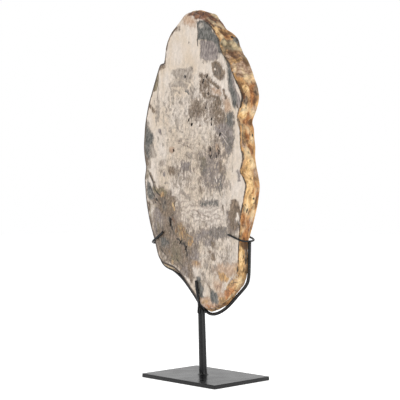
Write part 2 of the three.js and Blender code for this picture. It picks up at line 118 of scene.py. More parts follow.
# Colour patches of the polished face by tint or zone: strength, softness of the edge, and corners in
# x and z. Where marks of one tint meet, the stronger one counts.
PATCHES = {
    "slate": (
        (1, 1.5, ((-3, 553), (10, 553), (21, 547), (30, 544), (32, 533), (41, 525), (45, 517), (47, 503),
         (51, 494), (45, 497), (41, 508), (32, 517), (19, 521), (4, 523), (-2, 523))),
        (0.75, 4, ((-123, 409), (-116, 403), (-109, 386), (-104, 370), (-106, 360), (-109, 343),
         (-118, 341), (-128, 358), (-128, 377))),
        (0.6, 4, ((4, 338), (19, 338), (21, 313), (8, 314))),
        (0.85, 2, ((-118, 309), (-113, 307), (-106, 296), (-101, 286), (-104, 278), (-113, 277),
         (-121, 286))),
        (0.6, 4, ((4, 278), (19, 280), (38, 275), (38, 265), (21, 263), (4, 263))),
        (0.6, 4, ((-85, 219), (-71, 221), (-64, 210), (-66, 198), (-80, 199))),
        (0.9, 2, ((-5, 153), (2, 152), (8, 133), (2, 128), (-3, 135))),
        (0.85, 2, ((26, 140), (32, 140), (38, 137), (45, 123), (32, 122), (28, 129))),
        (0.5, 3, ((30, 484), (42, 484), (52, 474), (56, 463), (44, 461), (34, 468))),
        (0.9, 2.5, ((59, 486), (65, 484), (70, 470), (73, 456), (80, 440), (82, 424), (74, 421), (68, 430),
         (66, 446), (62, 462))),
        (0.8, 3, ((62, 409), (74, 409), (76, 394), (74, 382), (64, 384), (56, 396))),
        (0.6, 3, ((58, 376), (70, 372), (72, 358), (68, 345), (62, 344), (58, 356))),
        (0.9, 3, ((-124, 402), (-116, 398), (-106, 384), (-101, 374), (-104, 366), (-112, 362),
         (-126, 364))),
        (0.6, 3, ((-86, 280), (-72, 280), (-68, 266), (-76, 258), (-86, 266))),
        (0.9, 1.5, ((-121, 296), (-112, 298), (-104, 286), (-108, 280), (-118, 284))),
        (0.8, 3, ((-89, 220), (-72, 220), (-66, 208), (-72, 200), (-86, 202))),
        (0.7, 3, ((4, 277), (44, 277), (45, 265), (4, 264))),
        (0.5, 3, ((22, 236), (62, 238), (64, 222), (40, 216), (22, 220))),
        (1, 2, ((-4, 158), (4, 158), (10, 140), (10, 129), (2, 129), (-5, 140))),
        (1, 2, ((26, 139), (34, 138), (42, 128), (42, 121), (32, 120), (27, 128))),
    ),
    "mauve": (
        (0.9, 2, ((3, 523), (32, 520), (40, 511), (46, 500), (50, 492), (34, 487), (13, 491), (4, 495))),
        (0.9, 3, ((66, 409), (74, 405), (76, 393), (74, 381), (76, 366), (70, 349), (66, 343), (59, 344),
         (55, 355), (49, 367), (38, 380), (34, 389), (51, 394))),
        (0.55, 6, ((6, 350), (21, 356), (51, 352), (57, 329), (55, 292), (38, 289), (21, 292), (6, 301),
         (4, 331))),
        (0.8, 3, ((-40, 339), (-18, 337), (-16, 320), (-39, 321))),
        (0.65, 3, ((-97, 264), (-87, 266), (-80, 254), (-82, 235), (-80, 226), (-94, 225), (-101, 241))),
        (0.75, 4, ((15, 231), (30, 234), (47, 238), (62, 235), (64, 223), (43, 218), (21, 219), (4, 215),
         (-1, 206), (-14, 212), (-5, 227))),
        (0.8, 4, ((-23, 199), (-5, 203), (6, 194), (4, 181), (-14, 179), (-23, 187))),
        (1, 2, ((8, 512), (38, 508), (42, 500), (40, 497), (10, 499))),
        (0.6, 4, ((5, 500), (36, 498), (34, 486), (22, 488), (8, 486))),
        (0.3, 3, ((-32, 424), (-18, 428), (-14, 416), (-14, 404), (-26, 404), (-33, 412))),
        (0.8, 3, ((14, 334), (20, 332), (22, 312), (16, 306), (10, 314))),
        (0.8, 3, ((-98, 262), (-86, 262), (-83, 240), (-85, 224), (-98, 224), (-102, 244))),
        (0.9, 2, ((-27, 202), (-4, 202), (0, 190), (-6, 182), (-24, 184))),
        (0.8, 3, ((-40, 178), (-20, 180), (-14, 170), (-16, 158), (-28, 154), (-38, 162))),
        (0.7, 3, ((8, 218), (36, 219), (38, 205), (10, 205))),
        (0.9, 2, ((60, 262), (80, 258), (86, 240), (82, 228), (70, 230), (64, 244))),
        (0.9, 1, ((66, 477), (74, 464), (79, 450), (85, 434), (89, 420), (84, 412), (78, 426), (73, 441),
         (69, 459))),
    ),
    "umber": (
        (0.7, 3, ((2, 474), (8, 467), (19, 460), (26, 453), (28, 441), (23, 432), (13, 433), (4, 443),
         (4, 455))),
        (0.6, 5, ((-23, 426), (-14, 432), (-5, 436), (6, 430), (17, 425), (21, 414), (13, 404), (-1, 403),
         (-18, 409))),
        (0.75, 4, ((28, 430), (51, 427), (53, 415), (59, 406), (51, 394), (34, 395), (28, 411))),
        (0.45, 4, ((21, 361), (47, 360), (49, 340), (36, 334), (21, 341))),
        (0.85, 4, ((-89, 281), (-75, 283), (-52, 281), (-50, 267), (-52, 255), (-59, 248), (-75, 256),
         (-87, 266))),
        (0.9, 3, ((70, 275), (80, 275), (88, 266), (94, 258), (88, 252), (80, 253), (82, 241), (80, 229),
         (70, 229), (66, 241), (66, 256), (68, 266))),
        (0.6, 7, ((-99, 222), (-87, 235), (-78, 251), (-59, 251), (-41, 236), (-27, 227), (-12, 221),
         (-5, 209), (-3, 194), (-18, 177), (-36, 160), (-64, 179), (-82, 178), (-92, 197))),
        (0.5, 6, ((-39, 170), (-20, 180), (-7, 172), (-5, 156), (-7, 138), (-18, 146))),
        (0.4, 2, ((4, 118), (17, 113), (34, 111), (55, 114), (72, 125), (80, 128), (68, 112), (34, 104),
         (13, 105), (-1, 112))),
        (0.5, 3, ((-87, 494), (-73, 493), (-71, 486), (-82, 484), (-92, 485))),
        (0.5, 1.5, ((-52, 549), (-40, 551), (-38, 543), (-46, 538), (-53, 542))),
        (0.9, 2, ((27, 486), (38, 489), (50, 482), (58, 468), (56, 460), (46, 459), (35, 466), (28, 476))),
        (0.7, 3, ((1, 470), (12, 472), (24, 466), (30, 458), (28, 446), (24, 437), (10, 437), (3, 446))),
        (0.8, 2, ((30, 460), (40, 454), (48, 449), (46, 446), (36, 450), (28, 455))),
        (0.9, 2, ((32, 434), (44, 433), (51, 428), (51, 417), (42, 417), (36, 425))),
        (0.8, 2, ((-90, 496), (-74, 496), (-72, 488), (-82, 484), (-92, 486))),
        (0.65, 3, ((-16, 428), (-4, 432), (8, 428), (12, 414), (8, 402), (-8, 402), (-14, 412))),
        (0.7, 3, ((28, 430), (50, 430), (54, 412), (61, 404), (60, 392), (44, 390), (34, 400), (28, 414))),
        (0.8, 2, ((-123, 348), (-113, 347), (-112, 332), (-120, 330))),
        (0.7, 3, ((43, 338), (54, 336), (54, 318), (46, 316))),
        (0.8, 2, ((-66, 330), (-54, 330), (-52, 318), (-58, 314), (-66, 318))),
        (1, 3, ((-92, 284), (-70, 286), (-52, 282), (-52, 262), (-60, 250), (-78, 250), (-90, 262))),
        (0.8, 2, ((27, 214), (37, 214), (37, 204), (28, 204))),
        (1, 2, ((68, 277), (80, 277), (93, 258), (88, 252), (78, 256), (68, 258))),
        (0.6, 2, ((8, 114), (30, 110), (52, 114), (70, 126), (82, 138), (74, 118), (44, 104), (12, 104))),
        (0.8, 1.5, ((-119, 276), (-111, 273), (-109, 260), (-115, 256))),
        (0.8, 1.5, ((-104, 277), (-94, 277), (-92, 268), (-100, 270))),
        (0.8, 2, ((-24, 173), (-14, 172), (-8, 160), (-12, 148), (-24, 156))),
        (0.8, 2, ((79, 251), (89, 250), (91, 237), (82, 236))),
        (0.9, 2, ((-76, 232), (-66, 234), (-60, 216), (-70, 208))),
        (0.8, 2, ((-50, 204), (-38, 202), (-34, 186), (-44, 176), (-52, 184))),
    ),
    "tan": (
        (0.6, 4, ((23, 451), (43, 446), (53, 442), (53, 430), (36, 433), (23, 441))),
        (0.7, 3, ((55, 432), (64, 433), (70, 417), (72, 407), (59, 409), (53, 421))),
        (0.9, 5, ((32, 157), (51, 156), (53, 143), (36, 140))),
        (0.6, 6, ((28, 176), (55, 179), (84, 185), (84, 170), (59, 163), (34, 161))),
        (0.8, 5, ((-36, 566), (-14, 566), (-4, 558), (-6, 546), (-20, 544), (-34, 551))),
        (0.7, 3, ((28, 449), (50, 447), (53, 436), (44, 433), (28, 437))),
        (0.8, 3, ((-16, 184), (4, 182), (6, 172), (-14, 170))),
        (0.8, 4, ((38, 182), (84, 184), (84, 166), (56, 160), (40, 164))),
        (0.9, 4, ((32, 152), (48, 152), (50, 140), (36, 138))),
        (0.7, 3, ((0, 128), (18, 126), (30, 122), (14, 116), (2, 118))),
        (0.9, 4, ((-4, 128), (16, 132), (28, 128), (44, 140), (58, 140), (66, 148), (90, 150), (80, 126),
         (50, 108), (14, 106))),
        (0.6, 1.5, ((-80, 218), (-72, 220), (-66, 202), (-74, 198))),
        (0.7, 1.5, ((-36, 178), (-26, 176), (-22, 164), (-30, 162))),
    ),
    "smoke": (
        (0.8, 2, ((-109, 360), (-97, 358), (-97, 344), (-109, 343))),
        (0.45, 5, ((10, 206), (38, 210), (49, 198), (38, 186), (17, 188))),
        (0.95, 2, ((-41, 480), (-28, 484), (-12, 482), (-9, 474), (-20, 468), (-34, 470), (-44, 474))),
        (0.8, 2, ((-50, 474), (-40, 476), (-36, 468), (-46, 466))),
        (0.7, 2, ((-97, 440), (-90, 442), (-88, 420), (-88, 400), (-95, 400), (-98, 420))),
        (0.8, 2, ((-51, 404), (-43, 405), (-42, 388), (-50, 388))),
        (0.9, 1.5, ((-90, 389), (-83, 389), (-83, 380), (-89, 380))),
        (0.7, 1.5, ((-68, 389), (-60, 389), (-60, 383), (-68, 383))),
        (1, 2, ((-124, 366), (-100, 366), (-100, 346), (-122, 345))),
        (0.7, 2, ((-30, 351), (-12, 351), (-12, 339), (-30, 340))),
        (0.7, 3, ((-52, 316), (-40, 316), (-38, 303), (-50, 303))),
        (0.6, 3, ((-94, 334), (-84, 334), (-84, 320), (-94, 320))),
        (0.7, 2, ((9, 181), (22, 182), (22, 170), (9, 169))),
        (1, 1.5, ((-128, 352), (-110, 352), (-109, 328), (-125, 325))),
    ),
    "olive": (
        (0.6, 4, ((-36, 236), (-23, 229), (-14, 218), (-14, 202), (-25, 202), (-29, 214), (-45, 227),
         (-50, 236))),
        (0.5, 4, ((-59, 192), (-43, 195), (-36, 180), (-45, 173), (-57, 179))),
        (0.6, 3, ((-123, 329), (-116, 327), (-111, 315), (-113, 307), (-123, 309))),
        (0.8, 2, ((30, 535), (37, 533), (44, 521), (48, 510), (51, 500), (46, 498), (42, 508), (36, 520))),
        (0.8, 1.5, ((-100, 476), (-92, 484), (-88, 480), (-91, 466), (-96, 452), (-103, 452))),
        (0.8, 3, ((4, 342), (14, 343), (19, 330), (16, 318), (5, 320))),
        (0.9, 2, ((-104, 292), (-92, 298), (-80, 296), (-70, 289), (-74, 282), (-90, 285))),
        (0.9, 3, ((-50, 240), (-38, 238), (-26, 228), (-24, 216), (-36, 214), (-48, 224))),
        (0.6, 4, ((-62, 214), (-44, 212), (-34, 190), (-36, 174), (-52, 172), (-62, 190))),
        (0.7, 1.5, ((-60, 190), (-46, 196), (-40, 184), (-52, 176), (-62, 180))),
        (0.8, 2, ((-94, 246), (-88, 240), (-86, 222), (-93, 226))),
    ),
    "gold": (
        (0.6, 3, ((74, 175), (88, 182), (96, 170), (92, 153), (80, 155))),
        (0.9, 2, ((43, 130), (57, 131), (59, 122), (45, 120))),
        (0.9, 2, ((43, 168), (56, 168), (66, 160), (60, 154), (44, 156))),
        (1, 1.5, ((62, 151), (76, 156), (90, 156), (92, 146), (82, 140), (66, 140))),
        (0.85, 2, ((56, 142), (64, 152), (74, 162), (86, 160), (84, 142), (66, 126), (58, 130))),
        (0.9, 1.5, ((84, 182), (96, 182), (96, 156), (84, 154), (80, 168))),
        (0.52, 3, ((-47, 240), (-38, 243), (-30, 238), (-26, 226), (-24, 212), (-34, 211), (-43, 216),
         (-48, 228))),
    ),
    "orange": (
        (0.8, 3, ((64, 145), (74, 152), (88, 154), (90, 144), (76, 131), (64, 131))),
        (1, 2, ((55, 142), (68, 142), (84, 140), (78, 130), (62, 128), (56, 134))),
        (0.7, 2, ((14, 119), (36, 117), (56, 122), (66, 130), (60, 118), (36, 110), (14, 112))),
        (0.9, 2, ((64, 146), (80, 149), (90, 147), (82, 135), (68, 132))),
    ),
    "cream": (
        (0.8, 3, ((41, 496), (47, 496), (57, 486), (59, 472), (51, 479))),
        (0.6, 3, ((-111, 272), (-104, 272), (-97, 265), (-101, 248), (-106, 245), (-111, 259))),
        (0.6, 2, ((40, 499), (50, 497), (56, 486), (57, 474), (52, 480), (44, 487))),
        (0.5, 2, ((-12, 171), (-3, 169), (-2, 160), (-10, 160))),
        (0.5, 3, ((64, 212), (82, 210), (82, 184), (66, 184))),
        (0.4, 2, ((-84, 196), (-74, 194), (-73, 181), (-82, 180))),
        (0.7, 2, ((-108, 269), (-100, 268), (-97, 259), (-104, 255))),
    ),
    "speck": (
        (1, 5, ((2, 474), (21, 463), (34, 453), (28, 432), (51, 427), (59, 406), (51, 391), (17, 402),
         (-18, 404), (-27, 420), (-5, 436), (4, 443))),
        (0.8, 4, ((4, 523), (30, 518), (34, 512), (13, 513))),
        (0.9, 3, ((30, 488), (47, 485), (57, 472), (57, 460), (41, 458), (30, 471))),
        (0.8, 6, ((34, 392), (55, 391), (55, 337), (21, 335), (21, 362))),
        (0.8, 6, ((-89, 281), (-50, 281), (-36, 239), (-9, 218), (-3, 187), (-36, 160), (-82, 184),
         (-99, 219))),
    ),
    "hatch": (
        (1, 5, ((6, 350), (21, 356), (51, 352), (57, 329), (55, 289), (34, 286), (10, 295), (4, 331))),
    ),
    "wave": (
        (1, 8, ((-36, 288), (4, 277), (38, 268), (51, 259), (55, 238), (15, 232), (-18, 240), (-45, 253),
         (-50, 272))),
        (0.8, 5, ((-50, 374), (-9, 374), (-5, 354), (-41, 355))),
    ),
    "rust": (
        (1, 1.5, ((-10, 566), (4, 566), (22, 562), (38, 556), (50, 543), (46, 533), (38, 537), (30, 545),
         (20, 551), (8, 554), (-6, 557))),
        (0.5, 3, ((-60, 250), (-48, 250), (-46, 238), (-56, 234))),
        (0.45, 2, ((-60, 252), (-50, 250), (-48, 238), (-56, 236))),
        (0.35, 3, ((32, 153), (50, 154), (53, 141), (36, 138))),
        (0.5, 2, ((68, 143), (82, 146), (88, 142), (78, 134), (70, 132))),
    ),
    "straw": (
        (0.45, 1.5, ((66, 149), (78, 152), (84, 149), (76, 143), (67, 144))),
    ),
    "drab": (
        (0.9, 7, ((-104, 292), (-88, 298), (-52, 284), (-46, 262), (-34, 246), (-10, 226), (0, 205),
         (-4, 186), (-16, 164), (-36, 160), (-62, 178), (-84, 180), (-97, 200), (-104, 224), (-108, 262))),
        (0.6, 8, ((0, 240), (30, 238), (62, 238), (68, 262), (82, 258), (80, 226), (50, 214), (10, 212),
         (-8, 216))),
        (0.3, 10, ((-4, 206), (24, 208), (60, 214), (82, 222), (82, 196), (70, 172), (40, 150), (20, 132),
         (0, 140), (-6, 170))),
        (0.5, 10, ((-22, 436), (30, 436), (60, 420), (72, 390), (66, 350), (56, 290), (0, 290), (0, 345),
         (40, 380), (30, 395), (-20, 400))),
        (0.35, 12, ((-110, 340), (-60, 340), (0, 345), (0, 290), (-50, 290), (-90, 300))),
    ),
    "busy": (
        (0.75, 16, ((-60, 470), (-10, 468), (30, 470), (58, 440), (66, 360), (58, 290), (70, 270),
         (64, 220), (30, 214), (-6, 200), (-8, 160), (-60, 178), (-98, 210), (-90, 285), (-60, 300),
         (-90, 360), (-86, 430))),
        (1, 10, ((-22, 436), (24, 470), (58, 440), (64, 345), (58, 290), (0, 290), (0, 350), (36, 390))),
        (1, 10, ((-92, 284), (-50, 284), (-30, 240), (4, 214), (0, 180), (-40, 160), (-98, 200))),
    ),
}

# Oval marks of the face by tint: strength, softness, x, z, half width, half height, turn in degrees.
OVALS = {
    "cream": (
        (0.45, 3, 5, 546, 6.7, 5.3, -18), (1, 1, 36, 476, 2.6, 2, -11), (0.9, 2, 83, 250, 2.7, 5.9, 0),
        (0.6, 2, 22, 266, 3, 3, 0), (0.8, 2, 86, 395, 2.5, 8, 0), (0.5, 1, -112, 289, 2, 2, -20),
        (0.7, 1, -106, 270, 2, 2.5, 0), (0.6, 1, -103, 262, 2, 4, 0), (0.5, 1, -84, 240, 1.6, 6, 0),
        (0.5, 2, -5, 167, 5, 4, 0), (0.6, 1, -74, 186, 3, 3, 0), (0.8, 2, 12, 134, 4, 4, 0),
    ),
    "mauve": (
        (1, 3, 43, 472, 15.8, 9.3, -44), (1, 1, -87, 385, 3.5, 4, 0), (1, 1, -78, 318, 3, 5, 0),
    ),
    "smoke": (
        (0.85, 3, -35, 474, 25, 9.3, -12), (0.75, 3, -41, 458, 17.1, 5.6, -11),
        (0.5, 3, 17, 177, 6.5, 6.1, 19), (0.6, 1, -20, 520, 2.4, 2.4, 0), (1, 1, -66, 436, 2, 4, 10),
        (1, 1, -56, 435, 2.5, 5, -8), (1, 1, -76, 428, 2, 3, 0), (1, 1, -73, 418, 3, 2, 0),
        (1, 1, -62, 421, 2, 2, 0), (1, 1, -80, 403, 2, 4, 0), (1, 1, -66, 410, 2, 3, 0),
        (1, 1, -57, 412, 2, 2, 0), (1, 1, -40, 428, 3, 3, 0), (1, 1, -64, 386, 4, 3, 0),
        (1, 1, -75, 392, 2, 3, 0), (1, 1, -97, 405, 2, 6, 0), (1, 1, -70, 371, 3, 1.5, 0),
        (1, 1, -80, 366, 3, 2, 0), (1, 1, -93, 372, 2, 4, 0), (1, 1, -36, 384, 3, 2, 0),
        (1, 1, -24, 372, 4, 1.5, -15), (1, 1, 12, 372, 3, 2, 0), (1, 1, -100, 432, 1.5, 5, 10),
        (1, 1, -72, 303, 5, 2, 20), (1, 1, 66, 300, 2, 8, 5), (1, 1, 72, 325, 2, 6, -5),
        (1, 1, 66, 200, 2, 8, 5),
    ),
    "slate": (
        (0.85, 3, 75, 429, 6.4, 17.5, 12), (0.7, 1.5, -29, 469, 3, 3, 0),
    ),
    "umber": (
        (0.55, 3, -80, 291, 10.6, 6.4, 0), (0.9, 1, 11, 546, 3, 2, 0), (0.6, 2, 32, 192, 5.1, 5.5, -14),
        (0.7, 2, 26, 198, 3.9, 1.8, 3), (0.8, 1.2, 4, 391, 4, 2.2, 0), (0.8, 1.2, 15, 402, 1.8, 2.6, 20),
        (0.8, 1.2, 27, 394, 1.8, 3.5, 10), (0.8, 1.2, 37, 395, 1.8, 3.5, 10),
        (0.9, 1.5, 25, 197, 4, 2.2, 20), (0.9, 2, 33, 190, 5, 6, 0), (0.6, 2, 2, 363, 2.2, 2.2, 0),
        (1, 1, 47, 386, 2, 2, 0), (0.5, 1, 20, 424, 2, 1.4, 0), (1, 1, -86, 282, 2, 3, 0),
        (0.9, 2, -20, 172, 4, 7, 0),
    ),
    "tan": (
        (0.8, 2, -53, 271, 2.3, 6.3, 0), (0.9, 2, 62, 415, 6.5, 7.5, 0), (0.9, 2, 26, 352, 3.5, 8, 8),
        (0.9, 2, 42, 352, 4.5, 9, 8), (0.7, 2, -58, 357, 7, 5, 0), (0.8, 1, -47, 205, 3, 4, 0),
        (0.6, 1, -65, 205, 2.5, 5, 5), (0.7, 1, -62, 196, 1.6, 7, 0),
    ),
    "olive": (
        (0.9, 1, -101, 294, 3, 4, 0),
    ),
    "dark": (
        (0.8, 1, -93, 287.5, 2.2, 2, 0), (1, 1, -95.5, 277, 1.8, 2.6, -20), (0.6, 1, -76, 274, 3.6, 3, 0),
        (0.7, 1, -53, 269, 1.2, 3, 0), (0.9, 1, -35, 214, 1.6, 1.2, 0),
    ),
    "gold": (
        (0.6, 2, -83, 286, 6, 5, 0), (0.65, 2, -19, 210, 6, 7, 0), (0.6, 2, -6, 178, 9, 3, -20),
        (0.6, 2, 14, 121, 10, 4, 10),
    ),
    "straw": (
        (0.6, 1, -56, 268, 1.6, 5, 10), (0.6, 1, -57, 178, 3, 5, 20), (0.4, 1, -42, 190, 1.4, 6, 0),
    ),
    "rust": (
        (0.6, 1, -19, 214, 2, 3, 0), (0.5, 1, -34, 195, 2, 9, 5),
    ),
}

# Drawn-out streaks of the face by tint: strength, half width, and points in x and z.
STREAKS = {
    "dark": (
        (0.75, 1.3, ((-2, 551), (-2, 514))),
        (0.85, 1.4, ((-115, 322), (-106, 309), (-98, 293), (-87, 284))),
        (0.7, 1.2, ((-106, 280), (-97, 277), (-87, 270))), (1, 1.5, ((-65, 250), (-63, 244), (-61, 233))),
        (0.7, 1.1, ((90, 256), (86, 238))), (0.85, 1.2, ((-43, 216), (-39, 209))),
        (0.95, 1.3, ((-34, 208), (-27, 199))), (0.6, 1, ((-87, 203), (-78, 194))),
        (0.7, 1, ((8, 465), (13, 454))), (0.6, 0.9, ((17, 468), (21, 461))),
        (0.85, 1, ((26, 359), (27, 351))), (0.8, 1, ((23, 350), (28, 341))),
        (0.8, 1, ((43, 358), (45, 354))), (0.85, 1, ((41, 354), (45, 345))),
        (0.75, 1, ((36, 347), (39, 339))), (1, 1.6, ((-66, 249), (-63, 240), (-60, 232))),
        (0.9, 1.3, ((-42, 213), (-37, 208))), (1, 1.5, ((-30, 205), (-27, 199))),
        (0.8, 1.1, ((-27, 192), (-25, 187))), (0.8, 1.1, ((70, 153), (82, 154), (90, 155))),
        (0.7, 1, ((64, 141), (74, 138), (82, 140))), (0.8, 1.2, ((-111, 300), (-106, 291), (-101, 283))),
        (0.8, 1.3, ((-96, 279), (-94, 275))), (0.8, 1.2, ((-100, 273), (-97, 270))),
        (0.7, 1.1, ((84, 247), (86, 241))), (0.8, 1.1, ((-118, 272), (-113, 268), (-112, 261))),
        (0.8, 0.9, ((-60, 232), (-56, 227), (-53, 223))), (0.7, 0.8, ((-66, 234), (-62, 227), (-60, 223))),
        (1, 1.2, ((-46, 217), (-41, 212), (-37, 207))),
        (1, 1.1, ((-33, 210), (-29, 202), (-26, 196), (-25, 190))),
        (0.8, 0.9, ((-90, 203), (-81, 194), (-73, 190))), (0.6, 0.8, ((-84, 203), (-76, 197), (-69, 193))),
        (0.6, 0.8, ((-56, 214), (-54, 202), (-55, 190))), (0.6, 0.8, ((-38, 200), (-37, 186), (-40, 176))),
        (0.6, 0.8, ((-72, 262), (-70, 252), (-72, 242))), (0.7, 0.9, ((-84, 276), (-80, 268), (-82, 259))),
        (0.8, 0.9, ((-82, 236), (-80, 224), (-77, 212))), (0.8, 0.9, ((-71, 214), (-66, 204), (-64, 194))),
        (0.7, 0.8, ((-52, 212), (-48, 200), (-47, 188))), (0.8, 0.9, ((-94, 232), (-92, 220), (-88, 212))),
        (0.8, 0.9, ((-50, 186), (-42, 178), (-33, 172))), (0.7, 0.8, ((-68, 184), (-58, 180), (-50, 174))),
    ),
    "slate": (
        (0.8, 3.6, ((63, 485), (67, 471), (69, 456), (71, 441))),
        (0.5, 2.6, ((72, 390), (74, 369), (69, 352))), (0.7, 2.2, ((46, 313), (50, 292))),
        (0.9, 1.8, ((-30, 446), (-22, 441))), (0.3, 1.2, ((-47, 441), (-42, 434))),
        (0.8, 1.6, ((44, 299), (49, 284))),
    ),
    "olive": (
        (0.8, 2.6, ((45, 515), (49, 503), (57, 489), (64, 478))),
        (0.9, 1.4, ((-110, 262), (-108, 250), (-107, 240))),
        (0.9, 1.3, ((-92, 213), (-89, 206), (-86, 198))),
    ),
    "smoke": (
        (0.8, 1.6, ((-61, 454), (-52, 462), (-34, 465), (-16, 460), (-7, 447))),
        (0.8, 1.6, ((-59, 442), (-52, 450), (-45, 448), (-39, 441))),
        (0.8, 1.8, ((-66, 459), (-59, 447), (-54, 437))), (0.7, 1.5, ((-14, 456), (-9, 445), (-16, 436))),
        (0.8, 1.6, ((-94, 462), (-91, 440), (-91, 421), (-95, 395))),
        (0.75, 3.2, ((-49, 407), (-48, 388))), (0.6, 1.8, ((-79, 414), (-78, 401))),
        (0.7, 2.2, ((-85, 388), (-84, 380))), (0.7, 1.2, ((-45, 369), (-23, 361), (-14, 355))),
        (0.6, 1, ((-34, 372), (-12, 364))), (0.7, 3.2, ((-36, 291), (-18, 281))),
        (0.7, 2, ((15, 162), (19, 150), (26, 137))),
        (0.9, 1.6, ((-59, 455), (-50, 461), (-41, 461), (-33, 458))), (0.5, 1.4, ((-58, 449), (-50, 447))),
        (0.9, 1.5, ((-18, 452), (-13, 443), (-12, 436))), (0.9, 1.5, ((-60, 437), (-57, 428))),
        (0.8, 1.3, ((-36, 454), (-28, 452))), (0.8, 1.6, ((-63, 432), (-66, 424))),
        (0.8, 2.2, ((-38, 431), (-35, 425))), (0.7, 2, ((-74, 424), (-70, 419))),
        (0.8, 1.8, ((-25, 436), (-22, 430))),
    ),
    "mauve": (
        (0.7, 1.5, ((-32, 451), (-23, 446), (-16, 439))), (0.8, 3, ((84, 320), (85, 306))),
        (1, 2.4, ((67, 154), (70, 160), (74, 157))),
    ),
    "umber": (
        (0.85, 2.2, ((19, 462), (30, 456), (43, 446))), (0.9, 2, ((56, 442), (59, 430))),
        (0.8, 2, ((19, 434), (32, 435), (41, 430))), (0.8, 2.8, ((-111, 430), (-106, 425), (-99, 418))),
        (0.6, 1.6, ((-99, 466), (-106, 450))), (0.8, 2.2, ((-110, 319), (-101, 304), (-92, 293))),
        (0.8, 2.4, ((-111, 267), (-106, 251), (-105, 238))), (0.75, 3.5, ((-57, 252), (-53, 236))),
        (0.6, 2, ((49, 272), (53, 259))), (0.8, 1.6, ((-32, 199), (-25, 188))),
        (0.6, 1.6, ((-80, 197), (-59, 179), (-32, 164))), (0.8, 1.5, ((-3, 434), (4, 421))),
        (0.8, 1.4, ((80, 421), (86, 412), (84, 402), (88, 386))),
        (0.7, 0.9, ((-46, 366), (-34, 362), (-18, 358))), (0.6, 0.8, ((-44, 371), (-30, 366), (-16, 364))),
        (0.7, 0.9, ((-30, 346), (-18, 341))), (0.9, 1.2, ((6, 297), (8, 284), (6, 271))),
        (0.7, 1, ((-11, 261), (4, 253), (25, 251))), (0.6, 0.9, ((-20, 253), (-4, 246), (14, 242))),
        (0.8, 1.1, ((51, 268), (53, 256))), (0.9, 1.2, ((-86, 200), (-78, 194), (-70, 190))),
        (0.9, 1.2, ((20, 148), (24, 142), (28, 136))), (1, 1.4, ((68, 148), (80, 146), (88, 150))),
        (0.9, 1.2, ((-109, 258), (-106, 248), (-102, 238))),
        (0.8, 1, ((-103, 262), (-100, 250), (-97, 240))), (0.8, 1.2, ((-58, 236), (-52, 226), (-46, 216))),
        (0.8, 1.2, ((-72, 236), (-66, 226), (-60, 218))),
        (1, 1.1, ((21, 146), (26, 137), (29, 128), (31, 122))),
    ),
    "tan": (
        (0.8, 1.4, ((13, 297), (14, 288))), (0.8, 1, ((-76, 250), (-74, 240), (-74, 230))),
        (0.8, 1, ((-33, 196), (-31, 186), (-32, 178))),
    ),
    "cream": (
        (0.9, 1.1, ((37, 312), (41, 304))), (0.9, 0.9, ((45, 314), (47, 305))),
        (0.8, 0.9, ((34, 306), (37, 300))), (0.8, 0.9, ((52, 372), (62, 360))),
        (0.7, 0.8, ((50, 378), (60, 370))), (1, 2.2, ((83, 257), (86, 250), (88, 244))),
        (0.9, 1.1, ((-64, 176), (-50, 169), (-38, 162), (-29, 156))),
    ),
    "straw": (
        (0.8, 1.3, ((-55, 272), (-53, 262))), (0.5, 0.9, ((-88, 236), (-85, 226), (-84, 216))),
    ),
    "gold": (
        (0.9, 1.2, ((-26, 222), (-14, 221), (-12, 212), (-20, 208))),
        (0.8, 1.3, ((-46, 236), (-40, 228), (-36, 218))), (0.7, 1.2, ((-52, 232), (-46, 222))),
        (0.6, 1, ((-70, 200), (-64, 192), (-58, 188))),
    ),
    "rust": (
        (0.8, 1.4, ((-58, 248), (-52, 240))), (0.7, 1.2, ((-50, 236), (-46, 226), (-48, 219))),
        (0.7, 1.2, ((-37, 233), (-33, 224), (-30, 216))),
    ),
}

